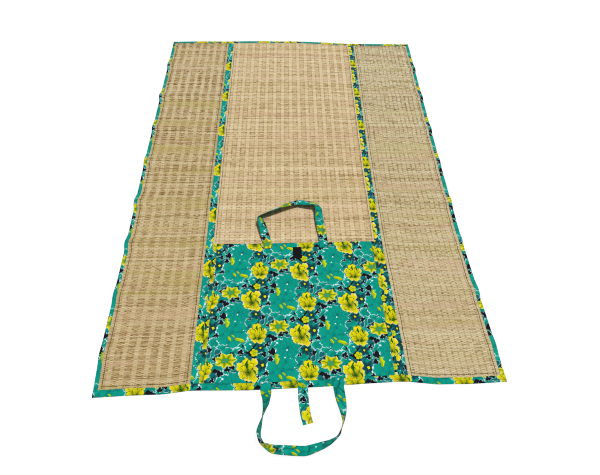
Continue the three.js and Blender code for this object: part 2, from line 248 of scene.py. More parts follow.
class Formula:
    """Adds nodes to a tree. Each call takes numbers, colours or sockets and returns a socket."""

    def __init__(self, tree):
        self.tree = tree

    def node(self, kind, feeds=None, **settings):
        node = self.tree.nodes.new(kind)
        for key, value in settings.items():
            setattr(node, key, value)
        for key, value in (feeds or {}).items():
            self.feed(node.inputs[key], value)
        return node

    def feed(self, socket, value):
        if isinstance(value, bpy.types.NodeSocket):
            self.tree.links.new(value, socket)
        else:
            socket.default_value = value

    def math(self, operation, *values):
        return self.node("ShaderNodeMath", dict(enumerate(values)), operation=operation).outputs[0]

    plus = partialmethod(math, "ADD")
    minus = partialmethod(math, "SUBTRACT")
    times = partialmethod(math, "MULTIPLY")
    over = partialmethod(math, "DIVIDE")
    power = partialmethod(math, "POWER")
    times_plus = partialmethod(math, "MULTIPLY_ADD")

    def vector(self, operation, *values):
        node = self.node("ShaderNodeVectorMath", dict(enumerate(values)), operation=operation)
        return node.outputs["Value" if operation in ("LENGTH", "DOT_PRODUCT") else "Vector"]

    def mix(self, share, low, high, blend="MIX"):
        node = self.node("ShaderNodeMix", data_type="RGBA", blend_type=blend)
        for key, value in ((0, share), (6, low), (7, high)):
            self.feed(node.inputs[key], value)
        return node.outputs[2]

    def scale(self, vector, amount):
        return self.node("ShaderNodeVectorMath", {0: vector, 3: amount}, operation="SCALE").outputs[0]

    def flat(self, vector):
        """The X and the Y of a vector. The print is a large tree, and the renderer's stack is
        small. Separate XYZ would keep a place on it to the end, and clamped nodes, noise, Mapping
        and colours used as vectors would wait there for one another, so its motifs use none."""
        return tuple(self.vector("DOT_PRODUCT", vector, axis) for axis in ((1, 0, 0), (0, 1, 0)))

    def join(self, x=0.0, y=0.0, z=0.0):
        return self.node("ShaderNodeCombineXYZ", {0: x, 1: y, 2: z}).outputs[0]

    def noise(self, vector, scale, detail=2.0, roughness=0.5, out="Factor"):
        feeds = {"Vector": vector, "Scale": scale, "Detail": detail, "Roughness": roughness}
        node = self.node("ShaderNodeTexNoise", feeds)
        return node.outputs[0 if out == "Factor" else 1]

    def channels(self, shade):
        """The red, green and blue of a colour."""
        return self.node("ShaderNodeSeparateColor", {0: shade}).outputs

    def wander(self, vector, pitch, amount):
        """A way aside that changes from place to place: waves along two slanted axes, with a
        pitch in radians a metre, and finer waves on top that the first ones bend."""
        first = self.vector("SINE", self.turn(self.scale(vector, pitch), 1.1))
        finer = self.turn(self.scale(vector, 2.7 * pitch), 2.6)
        finer = self.vector("ADD", finer, self.scale(first, 1.7))
        waves = self.vector("ADD", first, self.scale(self.vector("SINE", finer), 0.6))
        return self.scale(waves, amount)

    def turn(self, vector, angle):
        """A vector turned about Z, by an angle in radians."""
        feeds = {"Vector": vector, "Angle": angle}
        return self.node("ShaderNodeVectorRotate", feeds, rotation_type="Z_AXIS").outputs[0]

    def step(self, value, edge, soft):
        """0 below the edge and 1 above it, eased over a soft width."""
        feeds = {"Value": value, "From Min": edge - soft / 2, "From Max": edge + soft / 2}
        node = self.node("ShaderNodeMapRange", feeds, interpolation_type="SMOOTHSTEP", clamp=False)
        return node.outputs[0]

    def rest(self, value):
        """What a share leaves of one, and never less than nothing."""
        return self.math("MAXIMUM", self.minus(1, value), 0)

    def wave(self, value):
        """An even zigzag from 0 on the whole numbers to 1 half way between them."""
        return self.times(self.math("PINGPONG", value, 0.5), 2)

    def spread(self, value, amount):
        """A value around one half, made an amount around nothing."""
        return self.times(self.minus(value, 0.5), amount)

    def rare(self, value, amount):
        """As spread(), but near nothing for most values and far from it for a few."""
        off = self.minus(value, 0.5)
        return self.times(self.times(off, self.times(off, off)), amount)

    def chance(self, number):
        """A value between 0 and 1 that is a number's own."""
        feeds = {"W": number}
        return self.node("ShaderNodeTexWhiteNoise", feeds, noise_dimensions="1D").outputs["Value"]

    def mark(self, name):
        """A value that the mesh carries at its points."""
        return self.node("ShaderNodeAttribute", attribute_name=name).outputs["Fac"]

    def use(self, group, **feeds):
        """Places a group. A socket's name is given with _ for its spaces and a small letter."""
        node = self.node("ShaderNodeGroup", node_tree=group)
        for key, value in feeds.items():
            self.feed(node.inputs[key.capitalize().replace("_", " ")], value)
        return node.outputs

    def ramp(self, value, stops):
        """A colour ramp through (position, colour) stops."""
        node = self.node("ShaderNodeValToRGB", {0: value})
        points = node.color_ramp.elements
        for place, _ in stops[2:]:
            points.new(place)
        for point, (place, shade) in zip(points, stops):
            point.position = place
            point.color = shade
        return node.outputs[0]


def new_group(name, inputs, outputs):
    """A shader node group with named sockets. A number makes a float socket, three numbers a
    vector and four a colour. Returns the group, its Formula, what it is given and its result."""
    kinds = {1: "NodeSocketFloat", 3: "NodeSocketVector", 4: "NodeSocketColor"}
    tree = bpy.data.node_groups.new(name, "ShaderNodeTree")
    for in_out, sockets in (("INPUT", inputs), ("OUTPUT", outputs)):
        for key, default in sockets.items():
            kind = kinds[len(default) if isinstance(default, tuple) else 1]
            socket = tree.interface.new_socket(name=key, in_out=in_out, socket_type=kind)
            socket.default_value = default
    given = tree.nodes.new("NodeGroupInput").outputs
    result = tree.nodes.new("NodeGroupOutput").inputs
    return tree, Formula(tree), given, result


# ---- The cotton print: yellow roses and stars among big teal flowers, on dark leafy ground.

TEAL = colour("049C88")
DEEP_TEAL = colour("046A62")
NIGHT_TEAL = colour("0C565C")
DUSK_TEAL = colour("0E6C6E")
INK = colour("12121E")
LINE = colour("D4F0F4")
YELLOW = colour("E4D80C")
LEAF_GREEN = colour("5A8A06")
MOSS = colour("265208")
LIME = colour("C8D80C")
CREAM = colour("EEDCA0")

NOWHERE = (0.0, 0.0, 0.0)
REPEAT_WIDTH = 321 * MM
REPEAT_HEIGHT = 237 * MM
SOFT_EDGE = 0.5 * MM


def make_place():
    """Print place: the way from the nearest repeat of a motif's centre, turned to the motif.
    Each column of the print is half a repeat lower than the last, so the repeats make
    diamonds. Stretched and turned by 45 degrees the diamonds are squares, and wrap() finds the
    nearest one. Wander bends the way, the same at every repeat, so that no edge is quite true."""
    group, f, given, result = new_group(
        "Print place",
        {"Vector": NOWHERE, "Centre": NOWHERE, "Turn": 0.0, "Wander": 1 * MM},
        {"Vector": NOWHERE},
    )
    quarter = math.radians(45)
    half = REPEAT_WIDTH / math.sqrt(2) / 2
    away = f.vector("SUBTRACT", given["Vector"], given["Centre"])
    square = f.turn(f.vector("MULTIPLY", away, (1, REPEAT_WIDTH / REPEAT_HEIGHT, 0)), quarter)
    nearest = f.vector("WRAP", square, (half, half, 1), (-half, -half, -1))
    flat = f.vector("MULTIPLY", f.turn(nearest, -quarter), (1, REPEAT_HEIGHT / REPEAT_WIDTH, 0))
    own = f.vector("ADD", flat, f.scale(given["Centre"], 9))
    ragged = f.wander(own, 420, given["Wander"])
    f.feed(result["Vector"], f.turn(f.vector("ADD", flat, ragged), f.times(given["Turn"], -1)))
    return group


def lay_over(f, given, result, inner, dark, bare=None):
    """Ends a motif's group: inner is how far inside its edge a place is, in metres. Inside, the
    fill turns to its shade where it is dark. Around it runs the line, over the colour under,
    and where bare is 1 a broken line has its gaps."""
    outline = f.step(f.plus(inner, given["Line width"]), 0, SOFT_EDGE)
    if bare:
        outline = f.times(outline, f.rest(f.times(bare, given["Broken"])))
    inside = f.step(inner, 0, SOFT_EDGE)
    fill = f.mix(f.times(dark, given["Shading"]), given["Fill"], given["Shade"])
    lined = f.mix(outline, given["Under"], given["Line"])
    f.feed(result["Color"], f.mix(inside, lined, fill))


def motif_group(name, **sizes):
    """A group for one motif, with its sizes in metres and the colours that all motifs have."""
    inputs = {"Vector": NOWHERE, "Under": INK}
    inputs.update({key.capitalize(): value for key, value in sizes.items()})
    inputs.update({"Fill": TEAL, "Shade": DEEP_TEAL, "Shading": 1.0})
    inputs.update({"Line": LINE, "Line width": 0.9 * MM, "Broken": 0.0})
    return new_group(name, inputs, {"Color": INK})


def around(f, given):
    """How far a place is from the middle of a flower, and how far round, counted in petals."""
    x, y = f.flat(given["Vector"])
    radius = f.vector("LENGTH", given["Vector"])
    petal = f.over(f.math("ARCTAN2", y, x), 2 * math.pi)
    return radius, f.times_plus(petal, given["Petals"], given["Turn"])


def make_ring():
    """Petal ring: a flower of one ring of broad petals. Its edge is Radius at the petals' tips
    and falls by Depth to the clefts, and each petal has a darker foot and darker veins."""
    group, f, given, result = motif_group("Petal ring", radius=0.03, petals=6.0, turn=0.0, depth=0.3)
    radius, petal = around(f, given)
    cleft = f.minus(1, f.wave(petal))
    fall = f.times(f.power(cleft, 2), given["Depth"])
    edge = f.times(given["Radius"], f.minus(1, fall))
    out = f.over(radius, edge)
    foot = f.power(f.rest(out), 1.5)
    vein = f.power(f.wave(f.times(petal, 4)), 6)
    dark = f.plus(f.power(cleft, 6), f.times_plus(vein, 0.4, foot))
    bare = f.rest(f.step(f.math("FRACT", petal), 0.25, 0.1))
    lay_over(f, given, result, f.minus(edge, radius), dark, bare)
    return group


def make_star():
    """Petal star: a flower of one ring of pointed petals. Folded onto one petal, the edge is the
    parabola Breadth * u * (1 - u) along the petal, and a dark stripe follows its middle."""
    group, f, given, result = motif_group("Petal star", radius=0.03, petals=8.0, turn=0.0, breadth=0.9)
    radius, petal = around(f, given)
    fold = f.times(f.math("PINGPONG", petal, 0.5), f.over(2 * math.pi, given["Petals"]))
    along = f.over(f.times(radius, f.math("COSINE", fold)), given["Radius"])
    aside = f.times(radius, f.math("SINE", fold))
    rise = f.times(along, f.minus(1, along))
    half = f.times(f.times(rise, given["Breadth"]), given["Radius"])
    share = f.over(aside, f.math("MAXIMUM", half, 0.2 * MM))
    stripe = f.times(f.power(f.rest(share), 2), 0.8)
    dark = f.plus(stripe, f.power(f.rest(along), 3))
    bare = f.rest(f.step(f.math("FRACT", petal), 0.3, 0.1))
    lay_over(f, given, result, f.minus(half, aside), dark, bare)
    return group


def make_petal():
    """Single petal: an egg that grows along X from the origin, broadest towards its tip. It is
    darkest at its foot, from where dark veins fan out."""
    group, f, given, result = motif_group("Single petal", length=0.02, width=0.016)
    x, y = f.flat(given["Vector"])
    half = f.times(given["Width"], 0.5)
    along = f.over(x, given["Length"])
    swell = f.times_plus(along, 0.55, 0.72)
    share = f.over(y, f.times(half, f.math("MAXIMUM", swell, 0.3)))
    from_middle = f.times_plus(along, 2, -1)
    out = f.times_plus(share, share, f.times(from_middle, from_middle))
    out = f.math("SQRT", out)
    inner = f.times(f.minus(1, out), half)
    fan = f.over(share, f.math("MAXIMUM", f.plus(along, 0.35), 0.1))
    vein = f.power(f.wave(f.times(fan, 2.2)), 3)
    fade = f.rest(along)
    dark = f.times_plus(vein, 0.5, f.times_plus(fade, 0.8, 0.2))
    dark = f.times(dark, fade)
    lay_over(f, given, result, inner, dark)
    return group


def make_leaf():
    """Print leaf: a lens along X between two parabolas, bent by Bend, with a dark midrib and a
    darker lower half."""
    group, f, given, result = motif_group("Print leaf", length=0.03, width=0.012, bend=0.0)
    x, y = f.flat(given["Vector"])
    along = f.over(x, f.times(given["Length"], 0.5))
    square = f.times(along, along)
    side = f.times_plus(f.minus(square, 0.4), given["Bend"], y)
    half = f.times(f.minus(1, square), f.times(given["Width"], 0.5))
    off = f.math("ABSOLUTE", side)
    lower = f.times(f.rest(f.step(side, 0, 2 * MM)), 0.5)
    rib = f.rest(f.step(off, 0.4 * MM, 0.7 * MM))
    bare = f.rest(f.step(side, 0, 1 * MM))
    lay_over(f, given, result, f.minus(half, off), f.math("MAXIMUM", lower, rib), bare)
    return group


def make_ground():
    """Leafy ground: layers of pointed leaves over ink. Each layer is a net of squares, turned its
    own way, with one leaf in a square. A leaf points its own way and is cut off at the square's
    edge, and some squares stay bare. Both go by a chance of the square's own: the fraction of a
    large multiple of the sine of its corner's place."""
    group, f, given, result = new_group("Leafy ground", {"Vector": NOWHERE}, {"Color": INK})
    bent = f.vector("ADD", given["Vector"], f.wander(given["Vector"], 560, 0.8 * MM))
    layers = [
        # square (mm), slant of the net, share left bare, fill, its shade, line
        (19, 0.4, 0.20, DUSK_TEAL, NIGHT_TEAL, DEEP_TEAL),
        (26, 1.1, 0.30, TEAL, DEEP_TEAL, NIGHT_TEAL),
        (30, 0.8, 0.45, TEAL, DEEP_TEAL, LINE),
    ]
    shade = INK
    for square, net_slant, bare, fill, dark, line in layers:
        side = square * MM
        net = f.turn(bent, net_slant)
        corner = f.vector("SNAP", net, (side, side, 1))
        chances = []
        for mixed in ((1310, 2570, 0), (3170, 790, 0)):
            swing = f.math("SINE", f.vector("DOT_PRODUCT", corner, mixed))
            chances.append(f.math("FRACT", f.times(swing, 4375.85)))
        local = f.vector("SUBTRACT", f.vector("SUBTRACT", net, corner), (side / 2, side / 2, 0))
        leaf = f.use(
            LEAF,
            vector=f.turn(local, f.times(chances[0], 2 * math.pi)),
            under=shade,
            length=side * 1.4,
            width=side * 0.8,
            bend=side * 0.25,
            fill=fill,
            shade=dark,
            line=line,
            line_width=1.5 * MM,
            broken=1.0,
        )[0]
        shade = f.mix(f.step(chances[1], bare, 0.01), shade, leaf)
    f.feed(result["Color"], shade)
    return group


def make_rose(name, rows):
    """A print rose of single petals, from the undermost to the uppermost: each row gives where
    its foot is, the way it grows in degrees, its length and width (all as shares of the rose's
    radius) and how strongly it is shaded. The outer petals, which lie undermost, have a cream
    line and the inner ones a dark one."""
    inputs = {"Vector": NOWHERE, "Under": INK, "Radius": 0.033}
    group, f, given, result = new_group(name, inputs, {"Color": INK})
    shade = given["Under"]
    for number, (x, y, way, length, width, shading) in enumerate(rows):
        foot = f.scale((x, y, 0), given["Radius"])
        shade = f.use(
            PETAL,
            vector=f.turn(f.vector("SUBTRACT", given["Vector"], foot), -math.radians(way)),
            under=shade,
            length=f.times(given["Radius"], length),
            width=f.times(given["Radius"], width),
            fill=YELLOW,
            shade=MOSS,
            shading=shading,
            line=CREAM if number < len(rows) / 2 else MOSS,
        )[0]
    f.feed(result["Color"], shade)
    return group


CUP_PETALS = [
    (0.00, -0.45, 236, 0.68, 0.62, 1.2),
    (0.10, -0.45, 300, 0.72, 0.66, 1.2),
    (0.05, -0.50, 8, 0.72, 0.60, 1.2),
    (-0.05, -0.50, 170, 0.76, 0.70, 1.1),
    (0.05, -0.60, 55, 1.18, 0.66, 1.0),
    (-0.05, -0.60, 128, 1.20, 0.78, 0.9),
    (0.00, -0.60, 94, 1.56, 0.94, 0.7),
    (0.05, -0.65, 70, 1.22, 0.50, 1.1),
    (-0.05, -0.65, 118, 1.14, 0.46, 1.1),
    (0.00, -0.70, 92, 1.16, 0.42, 0.8),
    (-0.08, -0.70, 150, 0.80, 0.40, 1.3),
    (0.12, -0.70, 34, 0.84, 0.42, 1.3),
]
LOOSE_PETALS = [
    (0.05, -0.30, 264, 0.78, 0.60, 1.2),
    (0.10, -0.30, 308, 1.08, 0.62, 1.1),
    (0.00, -0.25, 218, 0.86, 0.60, 1.1),
    (0.15, -0.30, 20, 0.80, 0.56, 1.1),
    (0.10, -0.30, 66, 1.40, 0.66, 0.8),
    (0.10, -0.30, 146, 1.26, 0.80, 0.9),
    (0.10, -0.30, 104, 1.36, 0.70, 0.7),
    (0.15, -0.35, 78, 0.95, 0.40, 1.1),
    (0.00, -0.35, 128, 0.80, 0.40, 1.1),
    (0.15, -0.35, 330, 0.62, 0.40, 1.2),
    (0.05, -0.35, 228, 0.60, 0.38, 1.2),
]


# How far the edges of motifs wander, as a share of their sizes: the more ragged ones, and the rest.
RAGGED = {
    "gap": 0.06,
    "leaf": 0.035,
    "outline": 0.04,
    "big flower": 0.04,
    "cup rose": 0.05,
    "loose rose": 0.05,
}
LESS_RAGGED = 0.03

# Where each motif of the print lies in its repeat, in millimetres on the bag panel, from the
# undermost to the uppermost: kind, x, y, size and turn in degrees.
PRINT = [
    ("leaf", -89, -497, 42, -35),
    ("leaf", -82, -540, 32, 25),
    ("leaf", -110, -564, 36, -52),
    ("leaf", -112, -654, 42, 50),
    ("leaf", -84, -675, 40, 40),
    ("leaf", 1, -663, 42, 70),
    ("leaf", -26, -470, 36, 60),
    ("leaf", 44, -538, 30, 95),
    ("leaf", -32, -684, 36, -10),
    ("night leaf", 65, -568, 24, 40),
    ("night leaf", 39, -581, 22, 65),
    ("night leaf", -98, -589, 30, 80),
    ("gap", -87, -564, 25, 80),
    ("gap", 77, -637, 22, 0),
    ("gap", -25, -451, 20, 45),
    ("gap", -62, -504, 17, -20),
    ("gap", -47, -497, 18, 75),
    ("gap", -5, -545, 17, 45),
    ("gap", -23, -587, 14, 15),
    ("gap", -3, -570, 14, 80),
    ("gap", 58, -512, 17, 70),
    ("gap", 31, -525, 13, 45),
    ("gap", 41, -563, 17, 10),
    ("gap", -92, -587, 17, 85),
    ("gap", -113, -572, 17, -55),
    ("gap", 57, -592, 14, 70),
    ("gap", -24, -686, 19, 70),
    ("gap", -104, -540, 16, 85),
    ("night flower", 44, -488, 24, 10),
    ("night flower", 17, -554, 20, 40),
    ("night flower", 36, -433, 18, 75),
    ("outline", -55, -623, 51, 12),
    ("spiky outline", -40, -550, 41, 8),
    ("big flower", -55, -623, 51, 12),
    ("spiky flower", -40, -550, 41, 8),
    ("fleck", -42, -557, 7, 80),
    ("fleck", -48, -581, 6, 30),
    ("fleck", -63, -520, 6, 60),
    ("fleck", -73, -534, 8, 0),
    ("fleck", -19, -612, 5, 60),
    ("fleck", 4, -659, 8, -30),
    ("lime leaf", -74, -587, 37, -80),
    ("lime leaf", -62, -642, 20, -58),
    ("lime leaf", -51, -633, 15, -45),
    ("lime leaf", -29, -646, 35, -20),
    ("star", -69, -477, 35, 8),
    ("bud", 17, -450, 12, 0),
    ("loose rose", 0, -502, 33, 0),
    ("slit", -2, -489, 34, 95),
    ("slit", 21, -509, 17, -62),
    ("cup rose", 25, -618, 32, 0),
    ("slit", 23, -603, 20, 95),
    ("slit", 38, -607, 17, 108),
]


def motif_layers(kind, size):
    """What one motif is made of, from its undermost layer up: each is a group and its values.
    Radii, widths and bends are given as shares of the motif's size, which is a leaf's length."""

    def leaf(width, bend=0.0, **values):
        return LEAF, {"length": size, "width": width * size, "bend": bend * size, **values}

    def ring(radius, petals, depth=0.3, grown=0.0, **values):
        return RING, {"radius": radius * size + grown, "petals": petals, "depth": depth, **values}

    def star(radius, petals, breadth, grown=0.0, **values):
        return STAR, {"radius": radius * size + grown, "petals": petals, "breadth": breadth, **values}

    halo = {"grown": 0.5 * MM, "line_width": 2.1 * MM, "broken": 1.0}
    night = {"fill": NIGHT_TEAL, "shade": INK, "line": DEEP_TEAL, "line_width": 0.6 * MM}
    green_edge = {"shade": LEAF_GREEN, "line": LEAF_GREEN, "line_width": 0.8 * MM}
    layers = {
        "leaf": [leaf(0.55, 0.15, line_width=1.6 * MM, broken=1.0)],
        "night leaf": [leaf(0.7, 0.1, fill=DUSK_TEAL, shade=NIGHT_TEAL, line_width=0.8 * MM)],
        "lime leaf": [leaf(0.34, 0.08, fill=LIME, **green_edge)],
        "fleck": [leaf(0.6, fill=LINE, shade=LINE, line_width=0.0)],
        "slit": [leaf(0.2, 0.14, fill=MOSS, shade=MOSS, line=LEAF_GREEN, line_width=1 * MM)],
        "gap": [star(0.54, 3.0, 2.2, fill=INK, shade=INK, broken=1.0)],
        "outline": [ring(1, 6.0, 0.22, **halo)],
        "spiky outline": [star(1, 11.0, 1.3, **halo)],
        "big flower": [
            ring(1, 6.0, 0.22, shading=0.8, line_width=0.0),
            ring(0.5, 5.0, 0.4, shading=0.7, line=DEEP_TEAL),
        ],
        "spiky flower": [
            star(1, 11.0, 1.3, shading=0.7, line=DEEP_TEAL),
            star(0.72, 9.0, 1.2, turn=0.5, shading=0.7, line=DEEP_TEAL),
            star(0.4, 7.0, 1.2, shading=0.9, line=DEEP_TEAL),
        ],
        "night flower": [
            star(1, 6.0, 1.15, shading=0.8, **night),
            ring(0.2, 4.0, fill=YELLOW, shade=LIME, line=INK),
        ],
        "star": [
            star(1, 7.0, 1.15, shading=1.2, fill=YELLOW, shade=LEAF_GREEN, line=CREAM, line_width=1 * MM),
            ring(0.3, 7.0, 0.4, fill=TEAL, shade=LEAF_GREEN, line=LEAF_GREEN, line_width=2 * MM),
        ],
        "bud": [ring(1, 5.0, fill=YELLOW, **green_edge), ring(0.5, 3.0, 0.4, fill=YELLOW, **green_edge)],
        "cup rose": [(CUP_ROSE, {"radius": size})],
        "loose rose": [(LOOSE_ROSE, {"radius": size})],
    }
    return layers[kind]


def make_print():
    """Flower print: the leafy ground with every motif of the repeat laid over it."""
    group, f, given, result = new_group("Flower print", {"Vector": NOWHERE}, {"Color": INK})
    whole = f.use(PLACE, vector=given["Vector"], centre=(0.05, 0.08, 0.0), wander=0.0)[0]
    shade = f.use(GROUND, vector=whole)[0]
    for kind, x, y, size, turn in PRINT:
        motif = {
            "centre": (x * MM, y * MM, 0),
            "turn": math.radians(turn),
            "wander": RAGGED.get(kind, LESS_RAGGED) * size * MM,
        }
        here = f.use(PLACE, vector=given["Vector"], **motif)[0]
        if kind == "star":  # longer than it is wide
            here = f.vector("MULTIPLY", here, (1, 1.4, 0))
        for layer, values in motif_layers(kind, size * MM):
            shade = f.use(layer, vector=here, under=shade, **values)[0]
    f.feed(result["Color"], shade)
    return group


PETAL, LEAF, RING, STAR = make_petal(), make_leaf(), make_ring(), make_star()
CUP_ROSE, LOOSE_ROSE = make_rose("Cup rose", CUP_PETALS), make_rose("Loose rose", LOOSE_PETALS)
PLACE, GROUND = make_place(), make_ground()
FLOWER_PRINT = make_print()


# ---- The reed weave. Cotton warps run along the mat, WARP apart, and single reeds pass over one
# and under the next. In the UV map, warps are at whole multiples of WARP, and reeds at whole
# multiples of REED_PITCH.

WARP = 9.24 * MM
REED_PITCH = 3.05 * MM

STRAW = [
    (0.00, colour("856939")),
    (0.25, colour("B99C64")),
    (0.50, colour("E5CA9C")),
    (0.75, colour("F0DDB2")),
    (1.00, colour("F6E9C6")),
]
PINK_REED = colour("ECC3A7")
OLIVE_REED = colour("CFC263")
WARP_THREAD = colour("9A7A48")
SHADOW = colour("60451E")
SELVAGE = colour("F0E2C0")


def patches(f, given, x, x_scale, along, along_scale, detail=2, **more):
    """Noise whose patches have one size across the mat and another along it."""
    place = f.join(f.times(x, x_scale), f.times(along, along_scale), given["Seed"])
    return f.noise(place, 1, detail, **more)


def reed_ribs(f, given, x, y, warp, reed):
    """Ribs along the mat, as tones around nothing, and two masks that grow towards the far end.
    The ribs are painted light and shade on the weave's relief. Broad ribs are cosine waves of
    painted highlight and shade, four warps each, that come and go and are bolder on the right
    of Bold side. Fine ribs have narrow grooves of painted shade, two warps apart. Both change a
    little from one pair of reeds to the next."""
    bold = patches(f, given, x, 5, y, 6)
    pair = f.math("FLOOR", f.times(reed, 0.5))
    flip = f.math("COSINE", f.times(pair, math.pi))
    swing, fine_swing, _ = f.channels(patches(f, given, x, 8, pair, 3.7, out="Color"))

    lean = f.times_plus(f.step(f.minus(x, given["Bold side"]), 0, 0.25), 1.2, 0.4)
    far = f.step(y, 0.35, 1.1)
    farthest = f.step(y, 1.25, 0.8)
    lean = f.times(lean, f.times_plus(farthest, 0.4, f.times_plus(far, -0.4, 2)))
    broad_size = f.times(f.times(bold, lean), given["Broad ribs"])
    broad_size = f.times_plus(flip, 0.07, f.plus(broad_size, f.spread(swing, 0.14)))
    fine_size = f.times_plus(flip, 0.05, f.plus(given["Fine ribs"], f.spread(fine_swing, 0.16)))
    broad = f.math("COSINE", f.times(warp, math.pi / 2))
    groove = f.rest(f.wave(f.times_plus(warp, 0.5, 0.5)))
    fine = f.times_plus(f.power(groove, 4), -2, 0.4)
    return f.times_plus(broad, broad_size, f.times(fine, fine_size)), far, farthest


def reed_shadow(f, given, x, y, reed, ridge, lift):
    """How dark it is between two reeds, more so where a gap stands open, and where a reed dips
    under a warp."""
    between = f.power(f.minus(1, ridge), 2)
    open_gap = f.step(f.chance(f.math("ROUND", reed)), 0.72, 0.1)
    open_gap = f.times(open_gap, f.step(patches(f, given, x, 24, y, 330, 1), 0.5, 0.1))
    gap = f.times(between, f.times_plus(open_gap, 0.5, 0.35))
    return f.math("MAXIMUM", gap, f.times(f.minus(1, lift), 0.22))


def make_reeds():
    """Woven reed. Lift is 1 where a reed passes over a warp and 0 where it dips under one, the
    cosine of its place between the warps. Each reed has its own straw colour, which drifts
    along it, and each stretch of it over a warp catches the light differently. All these are
    tones around one half, which a ramp turns into straw colours. Towards the far end, tones
    grow paler, and they differ more by the share Far. Outputs the colour, a gloss mask and the
    height of the fibres."""
    inputs = {"Vector": NOWHERE, "Seed": 0.0, "Broad ribs": 0.2, "Bold side": 0.0, "Fine ribs": 0.2}
    inputs.update({"Olive": 0.5, "Pink": 0.5, "Streaks": 0.3, "Bands": 0.3, "Far": 0.4})
    inputs.update({"Tint": (1.0,) * 4, "Crease": 0.0, "Selvage": 0.0})
    outputs = {"Color": INK, "Gloss": 0.0, "Height": 0.0}
    group, f, given, result = new_group("Woven reed", inputs, outputs)

    x, y = f.flat(given["Vector"])
    warp = f.over(x, WARP)
    reed = f.over(y, REED_PITCH)
    number = f.math("FLOOR", reed)
    ridge = f.wave(reed)
    phase = f.plus(warp, number)
    lift = f.times_plus(f.math("COSINE", f.times(phase, math.pi)), 0.5, 0.5)

    stretch = f.math("FLOOR", f.plus(warp, 0.5))
    spot = {"Vector": f.join(stretch, number, given["Seed"])}
    glint = f.node("ShaderNodeTexWhiteNoise", spot).outputs["Value"]
    own = f.chance(f.plus(number, given["Seed"]))
    along_reed = patches(f, given, x, 14, number, 3.7)
    drift = patches(f, given, x, 1.1, y, 18, 3, roughness=0.6, out="Color")
    pinkish, olive, dull = f.channels(drift)

    tone, far, farthest = reed_ribs(f, given, x, y, warp, reed)
    tone = f.plus(tone, f.rare(own, f.times(given["Streaks"], 7)))
    tone = f.plus(tone, f.rare(glint, 1.9))
    tone = f.plus(tone, f.spread(along_reed, f.times(given["Streaks"], 2.4)))
    tone = f.plus(tone, f.spread(dull, given["Bands"]))
    # Painted highlight: a reed is lighter where it passes over a warp, on its raised stretch.
    tone = f.plus(tone, f.spread(lift, 0.2))
    distant = f.times_plus(f.times(far, far), 0.3, f.times(farthest, 0.7))
    gain = f.times_plus(distant, given["Far"], 1)
    tone = f.times_plus(tone, gain, f.times_plus(distant, 0.08, 0.5))
    straw = f.ramp(tone, STRAW)
    straw = f.mix(f.times(f.step(pinkish, 0.57, 0.14), given["Pink"]), straw, PINK_REED)
    straw = f.mix(f.times(f.step(olive, 0.58, 0.14), given["Olive"]), straw, OLIVE_REED)

    fibre = patches(f, given, x, 70, y, 2600)
    straw = f.mix(f.times(f.step(fibre, 0.42, 0.3), 0.18), straw, SHADOW)
    straw = f.mix(f.times(given["Selvage"], 0.35), straw, SELVAGE)
    straw = f.mix(reed_shadow(f, given, x, y, reed, ridge, lift), straw, SHADOW)

    aside = f.math("ABSOLUTE", f.minus(f.math("FRACT", f.plus(warp, 0.5)), 0.5))
    thread = f.times(f.rest(f.step(aside, 0.07, 0.06)), f.minus(1, lift))
    straw = f.mix(f.times(thread, 0.4), straw, WARP_THREAD)
    # Painted shade along the old folds, in the shadow brown, stronger where the glint is.
    straw = f.mix(f.times(given["Crease"], f.times_plus(glint, 0.4, 0.1)), straw, SHADOW)
    f.feed(result["Color"], f.mix(1.0, straw, given["Tint"], "MULTIPLY"))
    f.feed(result["Gloss"], f.times(ridge, lift))
    f.feed(result["Height"], fibre)
    return group


def make_weave():
    """Plain weave: threads Pitch apart each way, over and under one another in turn, which is
    the sine of one way times the sine of the other."""
    inputs = {"Vector": NOWHERE, "Pitch": 0.6 * MM}
    group, f, given, result = new_group("Plain weave", inputs, {"Height": 0.0})
    x, y = f.flat(f.scale(given["Vector"], f.over(math.pi, given["Pitch"])))
    f.feed(result["Height"], f.times(f.math("SINE", x), f.math("SINE", y)))
    return group


WOVEN_REED = make_reeds()
PLAIN_WEAVE = make_weave()


# ---- Materials.


def new_material(name, **values):
    """A material with these constants on its shader. Returns it, its shader and a Formula."""
    material = bpy.data.materials.new(name)
    material.use_nodes = True
    shader = material.node_tree.nodes["Principled BSDF"]
    for key, value in values.items():
        shader.inputs[key.replace("_", " ")].default_value = value
    return material, shader, Formula(material.node_tree)


def bump(f, shader, height, distance):
    node = f.node("ShaderNodeBump", {"Height": height, "Distance": distance})
    f.feed(shader.inputs["Normal"], node.outputs[0])


def flat_place(f):
    return f.node("ShaderNodeUVMap", uv_map="flat").outputs[0]


def reed_material(name, **values):
    material, shader, f = new_material(name, Specular_IOR_Level=0.25)
    marks = {key: f.mark(key) for key in ("crease", "selvage")}
    shade, gloss, height = list(f.use(WOVEN_REED, vector=flat_place(f), **marks, **values))[:3]
    f.feed(shader.inputs["Base Color"], shade)
    f.feed(shader.inputs["Roughness"], f.times_plus(gloss, -0.2, 0.72))
    bump(f, shader, height, 0.25 * MM)
    return material


